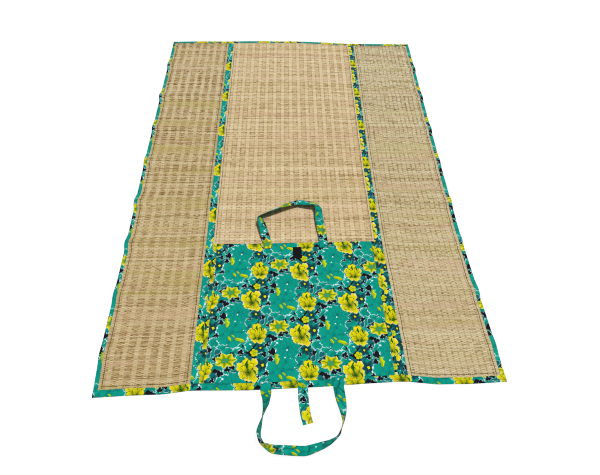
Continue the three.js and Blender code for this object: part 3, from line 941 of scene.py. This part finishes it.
def cotton_material():
    """The printed cotton. A crumpled piece gets painted shade along its creases, where a coarse
    noise crosses its middle value, and a piece's marked edges get painted shade too."""
    material, shader, f = new_material("printed_cotton", Roughness=0.85, Specular_IOR_Level=0.08)
    place = flat_place(f)
    crumpled, edge = f.mark("crumpled"), f.mark("edge")
    bend = f.math("ABSOLUTE", f.minus(f.noise(place, 22, 1), 0.5))
    crease = f.times(f.rest(f.times(bend, 22)), crumpled)
    # Painted shade: near-black along the creases of crumpled pieces and along marked edges.
    dark = f.math("MAXIMUM", f.times(crease, 0.55), f.times(edge, 0.6))
    f.feed(shader.inputs["Base Color"], f.mix(dark, f.use(FLOWER_PRINT, vector=place)[0], INK))
    crumple = f.minus(f.noise(place, 120, 3, 0.6), f.times(crease, 2))
    thread = f.use(PLAIN_WEAVE, vector=place)[0]
    bump(f, shader, f.times_plus(thread, 0.06, crumple), 0.6 * MM)
    return material


def speckled_material(name, dark, pale, scale, detail, rise, **values):
    """Thread or tape: fine specks between a dark and a pale shade, which also stand up."""
    material, shader, f = new_material(name, **values)
    speck = f.noise(f.node("ShaderNodeTexCoord").outputs["Object"], scale, detail)
    f.feed(shader.inputs["Base Color"], f.mix(speck, colour(dark), colour(pale)))
    bump(f, shader, speck, rise)
    return material


def thread_material(name, dark, pale):
    return speckled_material(name, dark, pale, 700, 2, 0.3 * MM, Roughness=0.7, Specular_IOR_Level=0.3)


def tape_material():
    finish = {"Roughness": 0.8, "Specular_IOR_Level": 0.1}
    return speckled_material("hook_tape", "040406", "1E1E22", 900, 3, 0.4 * MM, **finish)


# ---- Meshes.


def add_mesh(name, points, faces, flat, material, smooth=40, marks=None):
    """A piece from its points, faces and the UV place of each point. Edges that turn by more
    than smooth degrees stay sharp."""
    mesh = bpy.data.meshes.new(name)
    mesh.from_pydata(points, [], faces)
    corners = np.empty(len(mesh.loops), np.int32)
    mesh.loops.foreach_get("vertex_index", corners)
    layer = mesh.uv_layers.new(name="flat")
    layer.data.foreach_set("uv", flat[corners].astype(np.float32).ravel())
    for key, values in (marks or {}).items():
        mark = mesh.attributes.new(key, "FLOAT", "POINT")
        mark.data.foreach_set("value", values.astype(np.float32).ravel())
    mesh.materials.append(material)
    mesh.shade_smooth()
    mesh.set_sharp_from_angle(angle=math.radians(smooth))
    mesh.validate()
    piece = bpy.data.objects.new(name, mesh)
    bpy.context.collection.objects.link(piece)
    return piece


def ring_faces(number):
    """Faces over rings of numbered points: four-sided ones from each ring to the next."""
    following = np.roll(number, -1, axis=1)
    return np.stack([number[:-1], number[1:], following[1:], following[:-1]], -1).reshape(-1, 4)


def skin(name, sections, flat, material, **more):
    """A closed skin carried along sections of the same number of points, with a flat face on
    each end. A section runs counter-clockwise, seen from the start looking along the way."""
    ways, around = sections.shape[:2]
    number = np.arange(ways * around).reshape(ways, around)
    faces = ring_faces(number).tolist() + [number[0].tolist(), number[-1][::-1].tolist()]
    return add_mesh(name, sections.reshape(-1, 3).tolist(), faces, flat.reshape(-1, 2), material, **more)


def there_and_back(under, top):
    """Closed sections, one a row: out along the under side and back along the top."""
    return np.concatenate([under, top[:, ::-1]], 1)


def unit(vectors):
    return vectors / np.linalg.norm(vectors, axis=-1, keepdims=True)


def length_along(points):
    """How far along a line each of its points is."""
    return np.concatenate([[0], np.cumsum(np.linalg.norm(np.diff(points, axis=0), axis=1))])


def ripple(x, y, seed, reach=60 * MM, waves=9):
    """A gentle unevenness between about -1 and 1: a sum of plane waves of many directions, with
    lengths from about reach down to a third of it."""
    draw = np.random.default_rng(seed)
    total = np.zeros(np.broadcast(x, y).shape)
    for _ in range(waves):
        way = draw.uniform(0, 2 * math.pi)
        pitch = 2 * math.pi / (reach * draw.uniform(0.33, 1.2))
        phase = draw.uniform(0, 2 * math.pi)
        total = total + np.sin(pitch * (math.cos(way) * x + math.sin(way) * y) + phase)
    return total / math.sqrt(waves) / 1.4


def ease(value):
    """From 0 to 1 with no corner at either end."""
    value = np.clip(value, 0, 1)
    return value * value * (3 - 2 * value)


def finish_piece(piece, nodes):
    """Puts a piece on the root body and hides the solids that it stands for."""
    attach(piece, "root")
    if nodes:
        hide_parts(*nodes)


# ---- Reed panels.

REED_SEED, RIB_SEED, CREASE_SEED = 20, 60, 100
BESIDE_WEB = WEB / 2 + GAP
UNDER_STRIP = STRIP_WIDTH / 2 - BESIDE_WEB
UNDER_BINDING = SIDE_BINDING - RELIEF

# Painted shade along the old folds across the left, middle and right panels: y (mm) and how dark.
CREASES = [
    [(722, 0.5), (472, 1.0), (265, 0.4), (182, 0.4), (44, 0.9), (-178, 0.5), (-369, 0.5), (-576, 0.5)],
    [(722, 0.5), (652, 0.6), (569, 0.6), (482, 0.5), (422, 0.7), (227, 0.6), (25, 0.6), (-140, 0.4)],
    [(682, 0.5), (613, 0.5), (457, 0.9), (235, 0.6), (32, 0.5), (-196, 1.0), (-594, 0.6)],
]


def crease_shading(x, y, panel):
    """Painted shade along the old folds: dark lines, bell curves across each line, that wander a
    little and change in strength from place to place."""
    seed = CREASE_SEED + 50 * panel
    marks = np.zeros_like(x)
    for i, (crease_y, dark) in enumerate(CREASES[panel]):
        wander = 5 * MM * ripple(x, 0 * y, seed + i, 300 * MM)
        strength = 0.55 + 0.45 * ripple(x, y, seed + 40 + i, 90 * MM)
        away = (y - crease_y * MM - wander) / (4 * MM)
        marks = marks + dark * strength * np.exp(-away * away)
    return np.clip(marks, 0, 1)


def reed_rows(draw, low, high):
    """Rows along the mat for reeds that differ in thickness: an edge between two reeds, the
    middle of a reed, an edge and so on. Returns each row's y and its place counted in reeds."""
    count = round((high - low) / REED_PITCH)
    thick = np.clip(draw.normal(1, 0.16, count), 0.6, 1.5)
    edges = low + np.concatenate([[0], np.cumsum(thick)]) * (high - low) / thick.sum()
    rows = np.empty(2 * count + 1)
    rows[0::2] = edges
    rows[1::2] = (edges[1:] + edges[:-1]) / 2
    return rows, np.arange(2 * count + 1) / 2


def woven_top(draw, x, y, warp, reed, panel):
    """How far the woven top is off its mean level. A reed's middle is raised where it passes
    over a warp and lowered where it dips under, +1 and -1 in turn along each reed and from reed
    to reed. Between reeds lies a hollow, and broad ribs are a cosine wave of four warps."""
    over = np.cos(np.pi * (np.round(warp) + np.floor(reed)))
    own = draw.normal(0, 1, reed.shape) * 0.12
    crest = (0.34 * over + 0.3 + own) * MM
    hollow = (-0.55 + 0.1 * draw.normal(0, 1, x.shape)) * MM
    broad = 0.18 * MM * np.cos(np.pi / 2 * warp) * (1 + ripple(x, y, RIB_SEED + panel, 240 * MM))
    return np.where(reed % 1 > 0, crest, hollow) + broad


def reed_panel(name, left, right, cloth_left, cloth_right, material, panel):
    """A woven panel: rows of points along its reeds, with a point at every warp. Where cloth or
    the bag lies over it, it is pressed flat, and its underside rises onto cloth that lies under
    its edges. Its selvages are marked."""
    draw = np.random.default_rng(REED_SEED + panel)
    low, high = FOOT + RELIEF, TOP - RELIEF
    rows, reed = reed_rows(draw, low, high)
    warps = math.floor((right - left - 4 * MM) / WARP)
    first = (left + right - warps * WARP) / 2
    columns = np.concatenate([[left], first + WARP * np.arange(warps + 1), [right]])
    x, y = np.meshgrid(columns, rows)
    woven = woven_top(draw, x, y, (x - first) / WARP, reed[:, None], panel)

    rising = 8 * MM
    free = ease((x - left - cloth_left) / rising) * ease((right - cloth_right - x) / rising)
    free = free * ease((y - ABOVE_FOOT) / rising) * ease((BELOW_TOP - y) / rising)
    if name == "reed_panel_middle":
        free = free * (y > BAG_TOP + 1 * MM)
    clear_of_cloth = 0.05 * MM
    height = REED + np.where(free > 0, woven * free, 0) - clear_of_cloth

    step, slope = 1 * MM, 3 * MM
    from_left = left + cloth_left + step
    from_right = right - cloth_right - step
    below = [left, from_left, from_left + slope, from_right - slope, from_right, right]
    under_x, under_y = np.meshgrid(below, rows)
    end = (rows < ABOVE_FOOT + step + slope) | (rows > BELOW_TOP - step - slope)
    under = np.full(under_x.shape, RELIEF)
    under[:, 2:4] = np.where(end[:, None], RELIEF, 0)

    all_x, all_y = there_and_back(under_x, x), there_and_back(under_y, y)
    sections = settle(all_x, all_y, there_and_back(under, height))
    flat = np.stack([all_x - first, np.broadcast_to(reed[:, None] * REED_PITCH, all_x.shape)], -1)
    from_cloth = np.minimum(all_x - left - cloth_left, right - cloth_right - all_x)
    selvage = ease(1 - (from_cloth - 3 * MM) / (6 * MM))
    # Marks at the points: painted shade along the folds, and the selvages.
    marks = {"crease": crease_shading(all_x, all_y, panel), "selvage": selvage}
    piece = skin(name + "_weave", sections, flat, material, smooth=180, marks=marks)
    finish_piece(piece, [name])


# ---- Bindings, hinge strips and the bag panel.

STEP_ALONG = 9 * MM

# Each piece of cloth puckers or crumples in its own way, and seams follow a strip's puckers.
CLOTH_SEEDS = {
    "binding_left": 11,
    "binding_right": 12,
    "hinge_strip_left": 13,
    "hinge_strip_right": 14,
    "binding_top": 15,
    "binding_foot": 16,
    "handle_upper": 31,
    "handle_lower": 32,
    "closing_tab": 33,
}


def pucker(strip, side, along):
    """How the sewn-down top of a strip of cloth falls short of its full height."""
    return -0.3 * MM * (1 + ripple(side, along, CLOTH_SEEDS[strip], 40 * MM))


def cloth_strip(name, outline, low, high, material, print_at, turned=False):
    """A folded strip of cloth: its outline of (sideways, height) points is carried along the
    mat, or across it when turned, and its top puckers. The print starts at print_at."""
    stations = np.linspace(low, high, round((high - low) / STEP_ALONG) + 1)
    side, along = np.meshgrid(outline[:, 0], stations)
    height = np.broadcast_to(outline[:, 1], side.shape)
    on_top = height > CLOTH_BASE + 0.2 * MM
    x, y = (along, -side) if turned else (side, along)
    sections = settle(x, y, height + np.where(on_top, pucker(name, side, along), 0))
    around = side + np.where(on_top, 1, -1) * height
    flat = np.stack([x, y] if turned else [around, along], -1) + print_at
    piece = skin(name + "_cloth", sections, flat, material, smooth=50)
    finish_piece(piece, [name])


def binding_outline(edge, inward, width):
    """A strip folded over an edge, open on its inward side, with its fold rounded off."""
    wall = edge + inward * CLOTH
    hem = edge + inward * width
    round_off = inward * 0.7 * MM
    outline = [
        (edge + round_off, 0),
        (hem, 0),
        (hem, CLOTH),
        (wall, CLOTH),
        (wall, CLOTH_BASE),
        (hem, CLOTH_BASE),
        (hem, CLOTH_TOP),
        (edge + 2 * round_off, CLOTH_TOP),
        (edge + round_off / 2, CLOTH_TOP - 0.5 * MM),
        (edge, CLOTH_TOP - 1.6 * MM),
        (edge, 0.7 * MM),
    ]
    return np.array(outline if inward > 0 else outline[::-1])


def strip_outline(centre):
    """Two layers of cloth, under and over the reeds, joined by a web that shows as a groove."""
    half, web = STRIP_WIDTH / 2, WEB / 2
    right = [
        (half, 0),
        (half, CLOTH),
        (web, CLOTH),
        (web, CLOTH_BASE),
        (half, CLOTH_BASE),
        (half, CLOTH_TOP),
        (web + 1 * MM, CLOTH_TOP + 0.3 * MM),
        (0, CLOTH_TOP - 0.4 * MM),
    ]
    left = [(-x, z) for x, z in right[-2::-1]]
    return np.array(right + left) + (centre, 0)


BAG_LEFT = STRIP_LEFT + STRIP_WIDTH / 2 + GAP
BAG_RIGHT = STRIP_RIGHT - STRIP_WIDTH / 2 - GAP
BAG_FOOT = ABOVE_FOOT + GAP
BAG_HEM = 13 * MM
RUMPLE_SEED, WRINKLE_SEED = 7, 8

# What is sewn on top of the bag panel: middle and half size.
SEWN_ON = table(
    "x y half_width half_length",
    [
        (-4, -426, 16, 25),
        (-111, -396, 17, 14),
        (91, -396, 17, 14),
        (-110, -893, 17, 14),
        (104, -893, 17, 14),
    ],
)


def bag_height(x, y):
    """The top of the bag's cloth. Its hems, along the upper edge and both sides, are two layers
    thick. Between them the cloth is a little rumpled, except under what is sewn to it."""
    x, y = np.broadcast_arrays(x, y)
    in_hem = np.maximum.reduce([BAG_LEFT + BAG_HEM - x, x - BAG_RIGHT + BAG_HEM, y - BAG_TOP + BAG_HEM])
    height = CLOTH_TOP - 0.45 * MM * (1 - ease(in_hem / (0.8 * MM) + 0.5))
    rumple = 0.3 * MM * (1 + ripple(x, y, RUMPLE_SEED, 110 * MM))
    rumple = rumple + 0.12 * MM * (1 + ripple(x, y, WRINKLE_SEED, 25 * MM))
    for middle_x, middle_y, half_width, half_length in zip(*SEWN_ON.values()):
        beside = np.maximum(np.abs(x - middle_x) - half_width, np.abs(y - middle_y) - half_length)
        rumple = rumple * ease(beside / (18 * MM))
    return height + rumple


# The print runs a little askew on the bag, turned about this place, and a little less than
# square. On the side hems, which are folded over, it is cut off and shifted.
PRINT_MIDDLE = (-30 * MM, -560 * MM)
PRINT_LEAN, PRINT_CLIMB = 0.017, 0.048
HEM_SHIFTS = (-14 * MM, 57 * MM)


def bag_panel(material):
    """The bag's cloth, a fine grid with its lower side flat on the reed, and with a row of
    points on either side of the step down from each hem."""
    spacing = 4 * MM
    columns = np.linspace(BAG_LEFT, BAG_RIGHT, round((BAG_RIGHT - BAG_LEFT) / spacing))
    rows = np.linspace(BAG_FOOT, BAG_TOP, round((BAG_TOP - BAG_FOOT) / spacing))
    step = np.array([BAG_HEM - 0.4 * MM, BAG_HEM + 0.4 * MM])
    columns = np.sort(np.concatenate([columns, BAG_LEFT + step, BAG_RIGHT - step]))
    rows = np.sort(np.concatenate([rows, BAG_TOP - step]))
    x, y = np.meshgrid(columns, rows)
    all_x, all_y = there_and_back(x, x), there_and_back(y, y)
    sections = settle(all_x, all_y, there_and_back(np.full(x.shape, CLOTH_BASE), bag_height(x, y)))
    on_left, on_right = all_x < BAG_LEFT + BAG_HEM, all_x > BAG_RIGHT - BAG_HEM
    hem = np.where(on_left, HEM_SHIFTS[0], 0) + np.where(on_right, HEM_SHIFTS[1], 0)
    aside, up = sections[..., 0] - PRINT_MIDDLE[0], sections[..., 1] - PRINT_MIDDLE[1]
    print_x = aside - PRINT_LEAN * up + hem
    print_y = up + PRINT_CLIMB * aside - 1.5 * hem
    flat = np.stack([print_x, print_y], -1) + PRINT_MIDDLE
    piece = skin("bag_panel_cloth", sections, flat, material, smooth=60)
    finish_piece(piece, ["bag_panel"])


# ---- Handles and tab.

def strap_table(rows):
    """Rows of x, y, base (the height of the lowest point), towards and dip (degrees): towards
    is where the second edge lies in the floor's plane, and dip how far it is turned down."""
    rows = np.array(rows, float)
    turn, dip = np.radians(rows[:, 3]), np.radians(rows[:, 4])
    way = np.stack([np.cos(dip) * np.cos(turn), np.cos(dip) * np.sin(turn), -np.sin(dip)], -1)
    return rows[:, :3] * MM, way


SEAT = ON_CLOTH / MM
UPPER_HANDLE = strap_table(
    [
        (-111, -406, SEAT, 2, 0),
        (-111, -386, SEAT, 6, 0),
        (-119, -352, 6, 12, 8),
        (-128, -314, 7, 14, 24),
        (-136, -284, 7, 22, 38),
        (-138, -264, 5, 60, 42),
        (-112, -248, 4, 104, 50),
        (-72, -229, 4, 110, 47),
        (-38, -211, 6, 112, 30),
        (4, -198, 8, 92, 15),
        (40, -204, 9, 78, 20),
        (68, -212, 8, 60, 38),
        (80, -230, 8, 22, 30),
        (81, -268, 8, 6, 14),
        (85, -315, 7, 5, 10),
        (89, -352, 6, 4, 4),
        (91, -386, SEAT, 2, 0),
        (92, -406, SEAT, 2, 0),
    ]
)
LOWER_HANDLE = strap_table(
    [
        (-110, -882, SEAT, 180, 0),
        (-110, -915, SEAT, 180, 0),
        (-108, -940, 0, 180, 38),
        (-110, -965, 0, 175, 58),
        (-119, -1000, 0, 170, 88),
        (-128, -1038, 0, -10, 72),
        (-119, -1064, 0, 42, 66),
        (-90, -1079, 0, 78, 34),
        (-50, -1083, 0, 88, 24),
        (0, -1086, 0, 92, 24),
        (36, -1077, 0, 106, 38),
        (68, -1066, 0, 116, 58),
        (92, -1050, 0, 130, 78),
        (107, -1018, 0, -15, 84),
        (110, -985, 0, 0, 48),
        (108, -948, 0, 4, 14),
        (104, -915, SEAT, 2, 0),
        (104, -882, SEAT, 0, 0),
    ]
)
TAB = strap_table(
    [
        (-1, -890, SEAT, 180, 0),
        (-1, -914, SEAT, 180, 0),
        (-1, -938, 0, 181, 0),
        (1, -965, 0, 184, 0),
        (4, -990, 0, 188, 0),
        (10, -1014, 0, 192, 0),
    ]
)


def smooth_through(points, share):
    """A tight Catmull-Rom curve: between two points it is the cubic whose slope at each is a
    third of the way from the point before to the point after."""
    padded = np.concatenate([[2 * points[0] - points[1]], points, [2 * points[-1] - points[-2]]])
    place = share * (len(points) - 1)
    i = np.minimum(place.astype(int), len(points) - 2)
    t = (place - i)[:, None]
    before, start, end, after = (padded[i + k] for k in range(4))
    out, back = (end - before) / 3, (after - start) / 3
    return (
        start
        + out * t
        + (3 * (end - start) - 2 * out - back) * t**2
        + (2 * (start - end) + out + back) * t**3
    )


def strap_frame(rows, width, steps=8):
    """The middle line of a strap, the way to its second edge and the way out of its face, with
    its lowest edge at the height that its rows give."""
    points, ways = rows
    share = np.linspace(0, 1, (len(points) - 1) * steps + 1)
    middle = smooth_through(points, share)
    side = unit(smooth_through(ways, share))
    face = unit(np.cross(side, unit(np.gradient(middle, axis=0) * (1, 1, 0))))
    lowest = (width * np.abs(side[:, 2]) + STRAP * np.abs(face[:, 2])) / 2
    middle[:, 2] = np.maximum(0, middle[:, 2]) + lowest
    return middle, side, face


def strap_outline(width):
    """Across, out: a flat strap with rounded edges and a shallow groove under each seam."""
    half, thick = width / 2, STRAP / 2
    seam = half - SEAM_INSET
    top = [
        (-half, 0),
        (-half + 0.3 * MM, 0.7 * thick),
        (-half + 1.2 * MM, thick),
        (-seam - 1 * MM, 0.95 * thick),
        (-seam, 0.6 * thick),
        (-seam + 1 * MM, 0.95 * thick),
        (-half / 3, 0.8 * thick),
    ]
    top = top + [(-x, z) for x, z in top[::-1]]
    bottom = [(x, -z) for x, z in top[-2:0:-1]]
    return np.array(top + bottom)[::-1]


def strap(name, rows, width, print_at, print_way, material):
    """A strap: its outline carried along its middle line, a little crumpled, and kept above the floor.
    Its cloth is marked as crumpled, and marked for painted shade along its edges. The print starts
    at print_at and runs the same way as the strap or, where print_way is -1, the other way."""
    middle, side, face = strap_frame(rows, width)
    outline = strap_outline(width)
    across, along = np.meshgrid(outline[:, 0], length_along(middle))
    crumple = 0.4 * MM * ripple(across, along, CLOTH_SEEDS[name], 30 * MM)
    sections = (
        middle[:, None]
        + outline[None, :, 0, None] * side[:, None]
        + (outline[None, :, 1] + crumple)[..., None] * face[:, None]
    )
    sections[..., 2] = np.maximum(sections[..., 2], 0)
    flat = print_way * np.stack([across + outline[None, :, 1], along], -1) + print_at
    # Painted shade along both edges of the strap.
    edge = np.broadcast_to(np.abs(outline[:, 0]) > width / 2 - 0.5 * MM, across.shape)
    marks = {"crumpled": np.ones(across.shape), "edge": edge}
    piece = skin(name + "_cloth", sections, flat, material, smooth=60, marks=marks)
    finish_piece(piece, [name])


# ---- Stitching.

# How far apart stitches are, how much of that each one fills, and its width and height.
REED_STITCH = {"pitch": 6.5 * MM, "share": 0.88, "width": 2.2 * MM, "rise": 0.6 * MM}
COTTON_STITCH = {"pitch": 3.6 * MM, "share": 0.72, "width": 0.7 * MM, "rise": 0.4 * MM}
STRAP_STITCH = {**COTTON_STITCH, "rise": 0.45 * MM}
THREAD_SEED = 300


def stitch_row(path, out, pitch, share, width, rise):
    """Stitches along a line of points, a pitch apart, each as long as its share of the pitch.
    A stitch is a low ridge: three diamond sections, the middle one the largest."""
    length = length_along(path)
    starts = np.arange(int(length[-1] / pitch)) * pitch
    at = starts[:, None] + np.array([0, 0.5, 1]) * pitch * share
    point = np.stack([np.interp(at, length, path[:, k]) for k in range(3)], -1)
    up = np.stack([np.interp(at, length, out[:, k]) for k in range(3)], -1)
    right = np.cross(unit(point[:, 2:] - point[:, :1]), up)
    size = np.array([0.5, 1, 0.5])[None, :, None]
    root = 0.4 * MM
    ring = [
        point - up * root,
        point + right * size * width / 2,
        point + up * (size - 0.5) * 2 * rise,
        point - right * size * width / 2,
    ]
    return np.stack(ring, 2)


def stitching(name, rows, material):
    """All the stitches of one thread as one piece, from stitches of three rings of four points."""
    stitch = np.concatenate(rows)
    number = np.arange(12).reshape(3, 4)
    one = np.concatenate([ring_faces(number), [number[0], number[-1][::-1]]])
    faces = (number.size * np.arange(len(stitch))[:, None, None] + one).reshape(-1, 4)
    points = stitch.reshape(-1, 3)
    piece = add_mesh(name, points.tolist(), faces.tolist(), points[:, :2], material, smooth=180)
    finish_piece(piece, [])


def seam(x, y, height, **stitch):
    """A row of stitches along a line of the straight-sided mat."""
    path = settle(x, y, height)
    return stitch_row(path, np.broadcast_to([0.0, 0.0, 1.0], path.shape), **stitch)


def strap_seams(rows, width):
    """The seams along both edges of a strap, on both its faces."""
    middle, side, face = strap_frame(rows, width)
    aside, out = width / 2 - SEAM_INSET, 0.3 * STRAP
    return [
        stitch_row(middle + a * aside * side + b * out * face, b * face, **STRAP_STITCH)
        for a in (-1, 1)
        for b in (-1, 1)
    ]


def reed_seams():
    """The dark thread that runs beside every binding and strip, through the reed."""
    half = STRIP_WIDTH / 2
    along = np.linspace(ABOVE_FOOT + 4 * MM, BELOW_TOP - 4 * MM, 240)
    above_bag = along[along > BAG_TOP + 2 * MM]
    lines = [
        (LEFT + SIDE_BINDING + 11 * MM, along),
        (STRIP_LEFT - half - 11 * MM, along),
        (STRIP_LEFT + half + 8 * MM, above_bag),
        (STRIP_RIGHT - half - 7 * MM, above_bag),
        (STRIP_RIGHT + half + 11 * MM, along),
        (RIGHT - SIDE_BINDING - 11 * MM, along),
    ]
    paths = []
    for i, (x, y) in enumerate(lines):
        paths.append((x + 1.2 * MM * ripple(np.full_like(y, x), y, THREAD_SEED + i, 200 * MM), y))
    for left, right in (
        (LEFT + SIDE_BINDING + 12 * MM, STRIP_LEFT - half - 12 * MM),
        (STRIP_RIGHT + half + 12 * MM, RIGHT - SIDE_BINDING - 12 * MM),
    ):
        x = np.linspace(left, right, 60)
        paths += [(x, ABOVE_FOOT + 9 * MM), (x, BELOW_TOP - 7 * MM)]
    x = np.linspace(STRIP_LEFT + half + 10 * MM, STRIP_RIGHT - half - 10 * MM, 90)
    paths.append((x, BELOW_TOP - 7 * MM))
    thread_height = REED + 0.45 * MM
    return [seam(x, y, thread_height, **REED_STITCH) for x, y in paths]


def cotton_seams():
    """The seams on the bindings, the strips, the bag's hems, the handles and the tab."""
    half = STRIP_WIDTH / 2
    inset = 2.5 * MM
    paths = []
    along = np.linspace(ABOVE_FOOT + 3 * MM, BELOW_TOP - 3 * MM, 400)
    for strip, x in (
        ("binding_left", LEFT + SIDE_BINDING - inset),
        ("binding_right", RIGHT - SIDE_BINDING + inset),
        ("hinge_strip_left", STRIP_LEFT - half + inset),
        ("hinge_strip_left", STRIP_LEFT + half - inset),
        ("hinge_strip_right", STRIP_RIGHT - half + inset),
        ("hinge_strip_right", STRIP_RIGHT + half - inset),
    ):
        paths.append((x, along, CLOTH_TOP + pucker(strip, x, along)))
    x = np.linspace(LEFT + 4 * MM, RIGHT - 4 * MM, 300)
    for strip, y in (("binding_top", BELOW_TOP + inset), ("binding_foot", ABOVE_FOOT - inset)):
        paths.append((x, y, CLOTH_TOP + pucker(strip, -y, x)))
    in_hem = BAG_HEM - 2 * MM
    x = np.linspace(BAG_LEFT + 3 * MM, BAG_RIGHT - 3 * MM, 150)
    for y in (BAG_TOP - in_hem, BAG_TOP - inset):
        paths.append((x, y, bag_height(x, y)))
    y = np.linspace(BAG_FOOT + 3 * MM, BAG_TOP - 3 * MM, 130)
    for x in (BAG_LEFT + in_hem, BAG_LEFT + inset, BAG_RIGHT - in_hem, BAG_RIGHT - inset):
        paths.append((x, y, bag_height(x, y)))
    rows = [seam(*path, **COTTON_STITCH) for path in paths]
    for handle in (UPPER_HANDLE, LOWER_HANDLE):
        rows += strap_seams(handle, HANDLE_WIDTH)
    return rows + strap_seams(TAB, TAB_WIDTH)


def tape_slab(width, length):
    """The tape itself: a rectangle with quarter circles for corners, which rises through levels
    of (inset, height). The last level is drawn in, so that the rim is bevelled."""
    corner = 1.5 * MM
    turn = np.radians(np.arange(0, 91, 30))
    quarter = np.stack([np.cos(turn), np.sin(turn)], -1) * corner
    inner = np.array([width / 2 - corner, length / 2 - corner])
    ring = []
    for a, b in ((1, 1), (-1, 1), (-1, -1), (1, -1)):
        arc = quarter if a * b > 0 else quarter[::-1]
        ring.append((inner + arc) * (a, b))
    ring = np.concatenate(ring)
    levels = [(0, 0), (0, 0.5 * MM), (0.3 * MM, 0.75 * MM)]
    points = [np.insert(ring * (1 - 2 * inset / width), 2, rise, axis=1) for inset, rise in levels]
    number = np.arange(len(levels) * len(ring)).reshape(-1, len(ring))
    following = np.roll(number, -1, axis=1)
    walls = np.stack([number[:-1], following[:-1], following[1:], number[1:]], -1).reshape(-1, 4)
    return np.concatenate(points), walls.tolist() + [number[0][::-1].tolist(), number[-1].tolist()]


def tape_hooks(width, length):
    """Short stiff hooks: narrow four-sided spikes in staggered rows, all leaning a little."""
    spacing, margins = 1.35 * MM, (2.6 * MM, 2.2 * MM)
    columns = np.arange(-width / 2 + margins[0], width / 2 - margins[1], spacing)
    rows = np.arange(-length / 2 + margins[0], length / 2 - margins[1], spacing)
    x, y = (a.ravel() for a in np.meshgrid(columns, rows))
    x = x + np.where(np.round(y / spacing) % 2 > 0, spacing / 4, -spacing / 4)
    foot, tip = 0.34 * MM, (0, 0.2 * MM, 0.9 * MM)
    spike = [(-foot, -foot, 0), (foot, -foot, 0), (foot, foot, 0), (-foot, foot, 0), tip]
    middles = np.column_stack([x, y, np.full(len(x), 0.6 * MM)])
    sides = np.array([(0, 1, 4), (1, 2, 4), (2, 3, 4), (3, 0, 4), (0, 3, 2), (0, 2, 1)])
    faces = 5 * np.arange(len(x))[:, None, None] + sides
    return (middles[:, None] + spike).reshape(-1, 3), faces.reshape(-1, 3)


def hook_patch(material):
    """The square of hook tape: a thin slab covered in hooks."""
    slab, faces = tape_slab(*PATCH_SIZE)
    hooks, hook_faces = tape_hooks(*PATCH_SIZE)
    points = np.concatenate([slab, hooks]) + (*PATCH_MIDDLE, ON_CLOTH)
    faces += (len(slab) + hook_faces).tolist()
    piece = add_mesh("hook_patch_tape", points.tolist(), faces, points[:, :2], material, smooth=30)
    finish_piece(piece, ["hook_patch"])


# ---- The mat put together.

# Each panel's left and right edges, and how far cloth reaches over each of them.
PANELS = [
    ("left", LEFT + RELIEF, STRIP_LEFT - BESIDE_WEB, UNDER_BINDING, UNDER_STRIP),
    ("middle", STRIP_LEFT + BESIDE_WEB, STRIP_RIGHT - BESIDE_WEB, UNDER_STRIP, UNDER_STRIP),
    ("right", STRIP_RIGHT + BESIDE_WEB, RIGHT - RELIEF, UNDER_STRIP, UNDER_BINDING),
]
REED_VALUES = "seed far broad_ribs fine_ribs olive pink streaks bands bold_side tint".split()
REED_LOOKS = {
    "left": (3.0, 1.4, 0.09, 0.08, 0.45, 0.35, 0.3, 0.3, -0.46, (0.86, 0.85, 0.79, 1)),
    "middle": (11.0, 0.5, 0.07, 0.14, 0.12, 0.3, 0.3, 0.38, 0.05, (1.0, 1.0, 1.0, 1)),
    "right": (23.0, 2.1, 0.05, 0.12, 0.25, 0.4, 0.2, 0.26, 0.3, (0.89, 0.94, 0.94, 1)),
}

add_camera()
add_sun()
add_studio()
for panel, (side, *edges) in enumerate(PANELS):
    material = reed_material("reed_" + side, **dict(zip(REED_VALUES, REED_LOOKS[side])))
    reed_panel("reed_panel_" + side, *edges, material, panel)

cotton = cotton_material()
low, high = ABOVE_FOOT + GAP, BELOW_TOP - GAP
around_side = 2 * SIDE_BINDING + CLOTH_TOP
for name, outline, print_at, flat_width in (
    ("binding_left", binding_outline(LEFT, 1, SIDE_BINDING), (0.518, -0.024), around_side),
    ("binding_right", binding_outline(RIGHT, -1, SIDE_BINDING), (-0.054, 0.168), around_side),
    ("hinge_strip_left", strip_outline(STRIP_LEFT), (0.289, -0.008), 2 * STRIP_WIDTH),
    ("hinge_strip_right", strip_outline(STRIP_RIGHT), (-0.280, 0.07), 2 * STRIP_WIDTH),
):
    cloth_strip(name, outline, low, high, cotton, print_at)
for name, edge, inward, width, print_at in (
    ("binding_top", -TOP, 1, TOP_BINDING, (0.0, -1.4)),
    ("binding_foot", TOP, -1, FOOT_BINDING, (0.025, 0.398)),
):
    outline = binding_outline(edge, inward, width)
    cloth_strip(name, outline, LEFT, RIGHT, cotton, print_at, turned=True)
bag_panel(cotton)

strap("handle_upper", UPPER_HANDLE, HANDLE_WIDTH, (-0.070, -0.459), -1, cotton)
strap("handle_lower", LOWER_HANDLE, HANDLE_WIDTH, (-0.050, -0.685), 1, cotton)
strap("closing_tab", TAB, TAB_WIDTH, (-0.022, -0.632), -1, cotton)
hook_patch(tape_material())

brown_thread = thread_material("brown_thread", "40290F", "6B4A22")
# Partly the thread's own colour, partly painted shade: its dark teal also stands in for the shade along
# the strips, hems and straps.
teal_thread_and_shade = thread_material("teal_thread_and_shade", "083C3C", "0C5E58")
stitching("reed_stitching", reed_seams(), brown_thread)
stitching("cotton_stitching", cotton_seams(), teal_thread_and_shade)
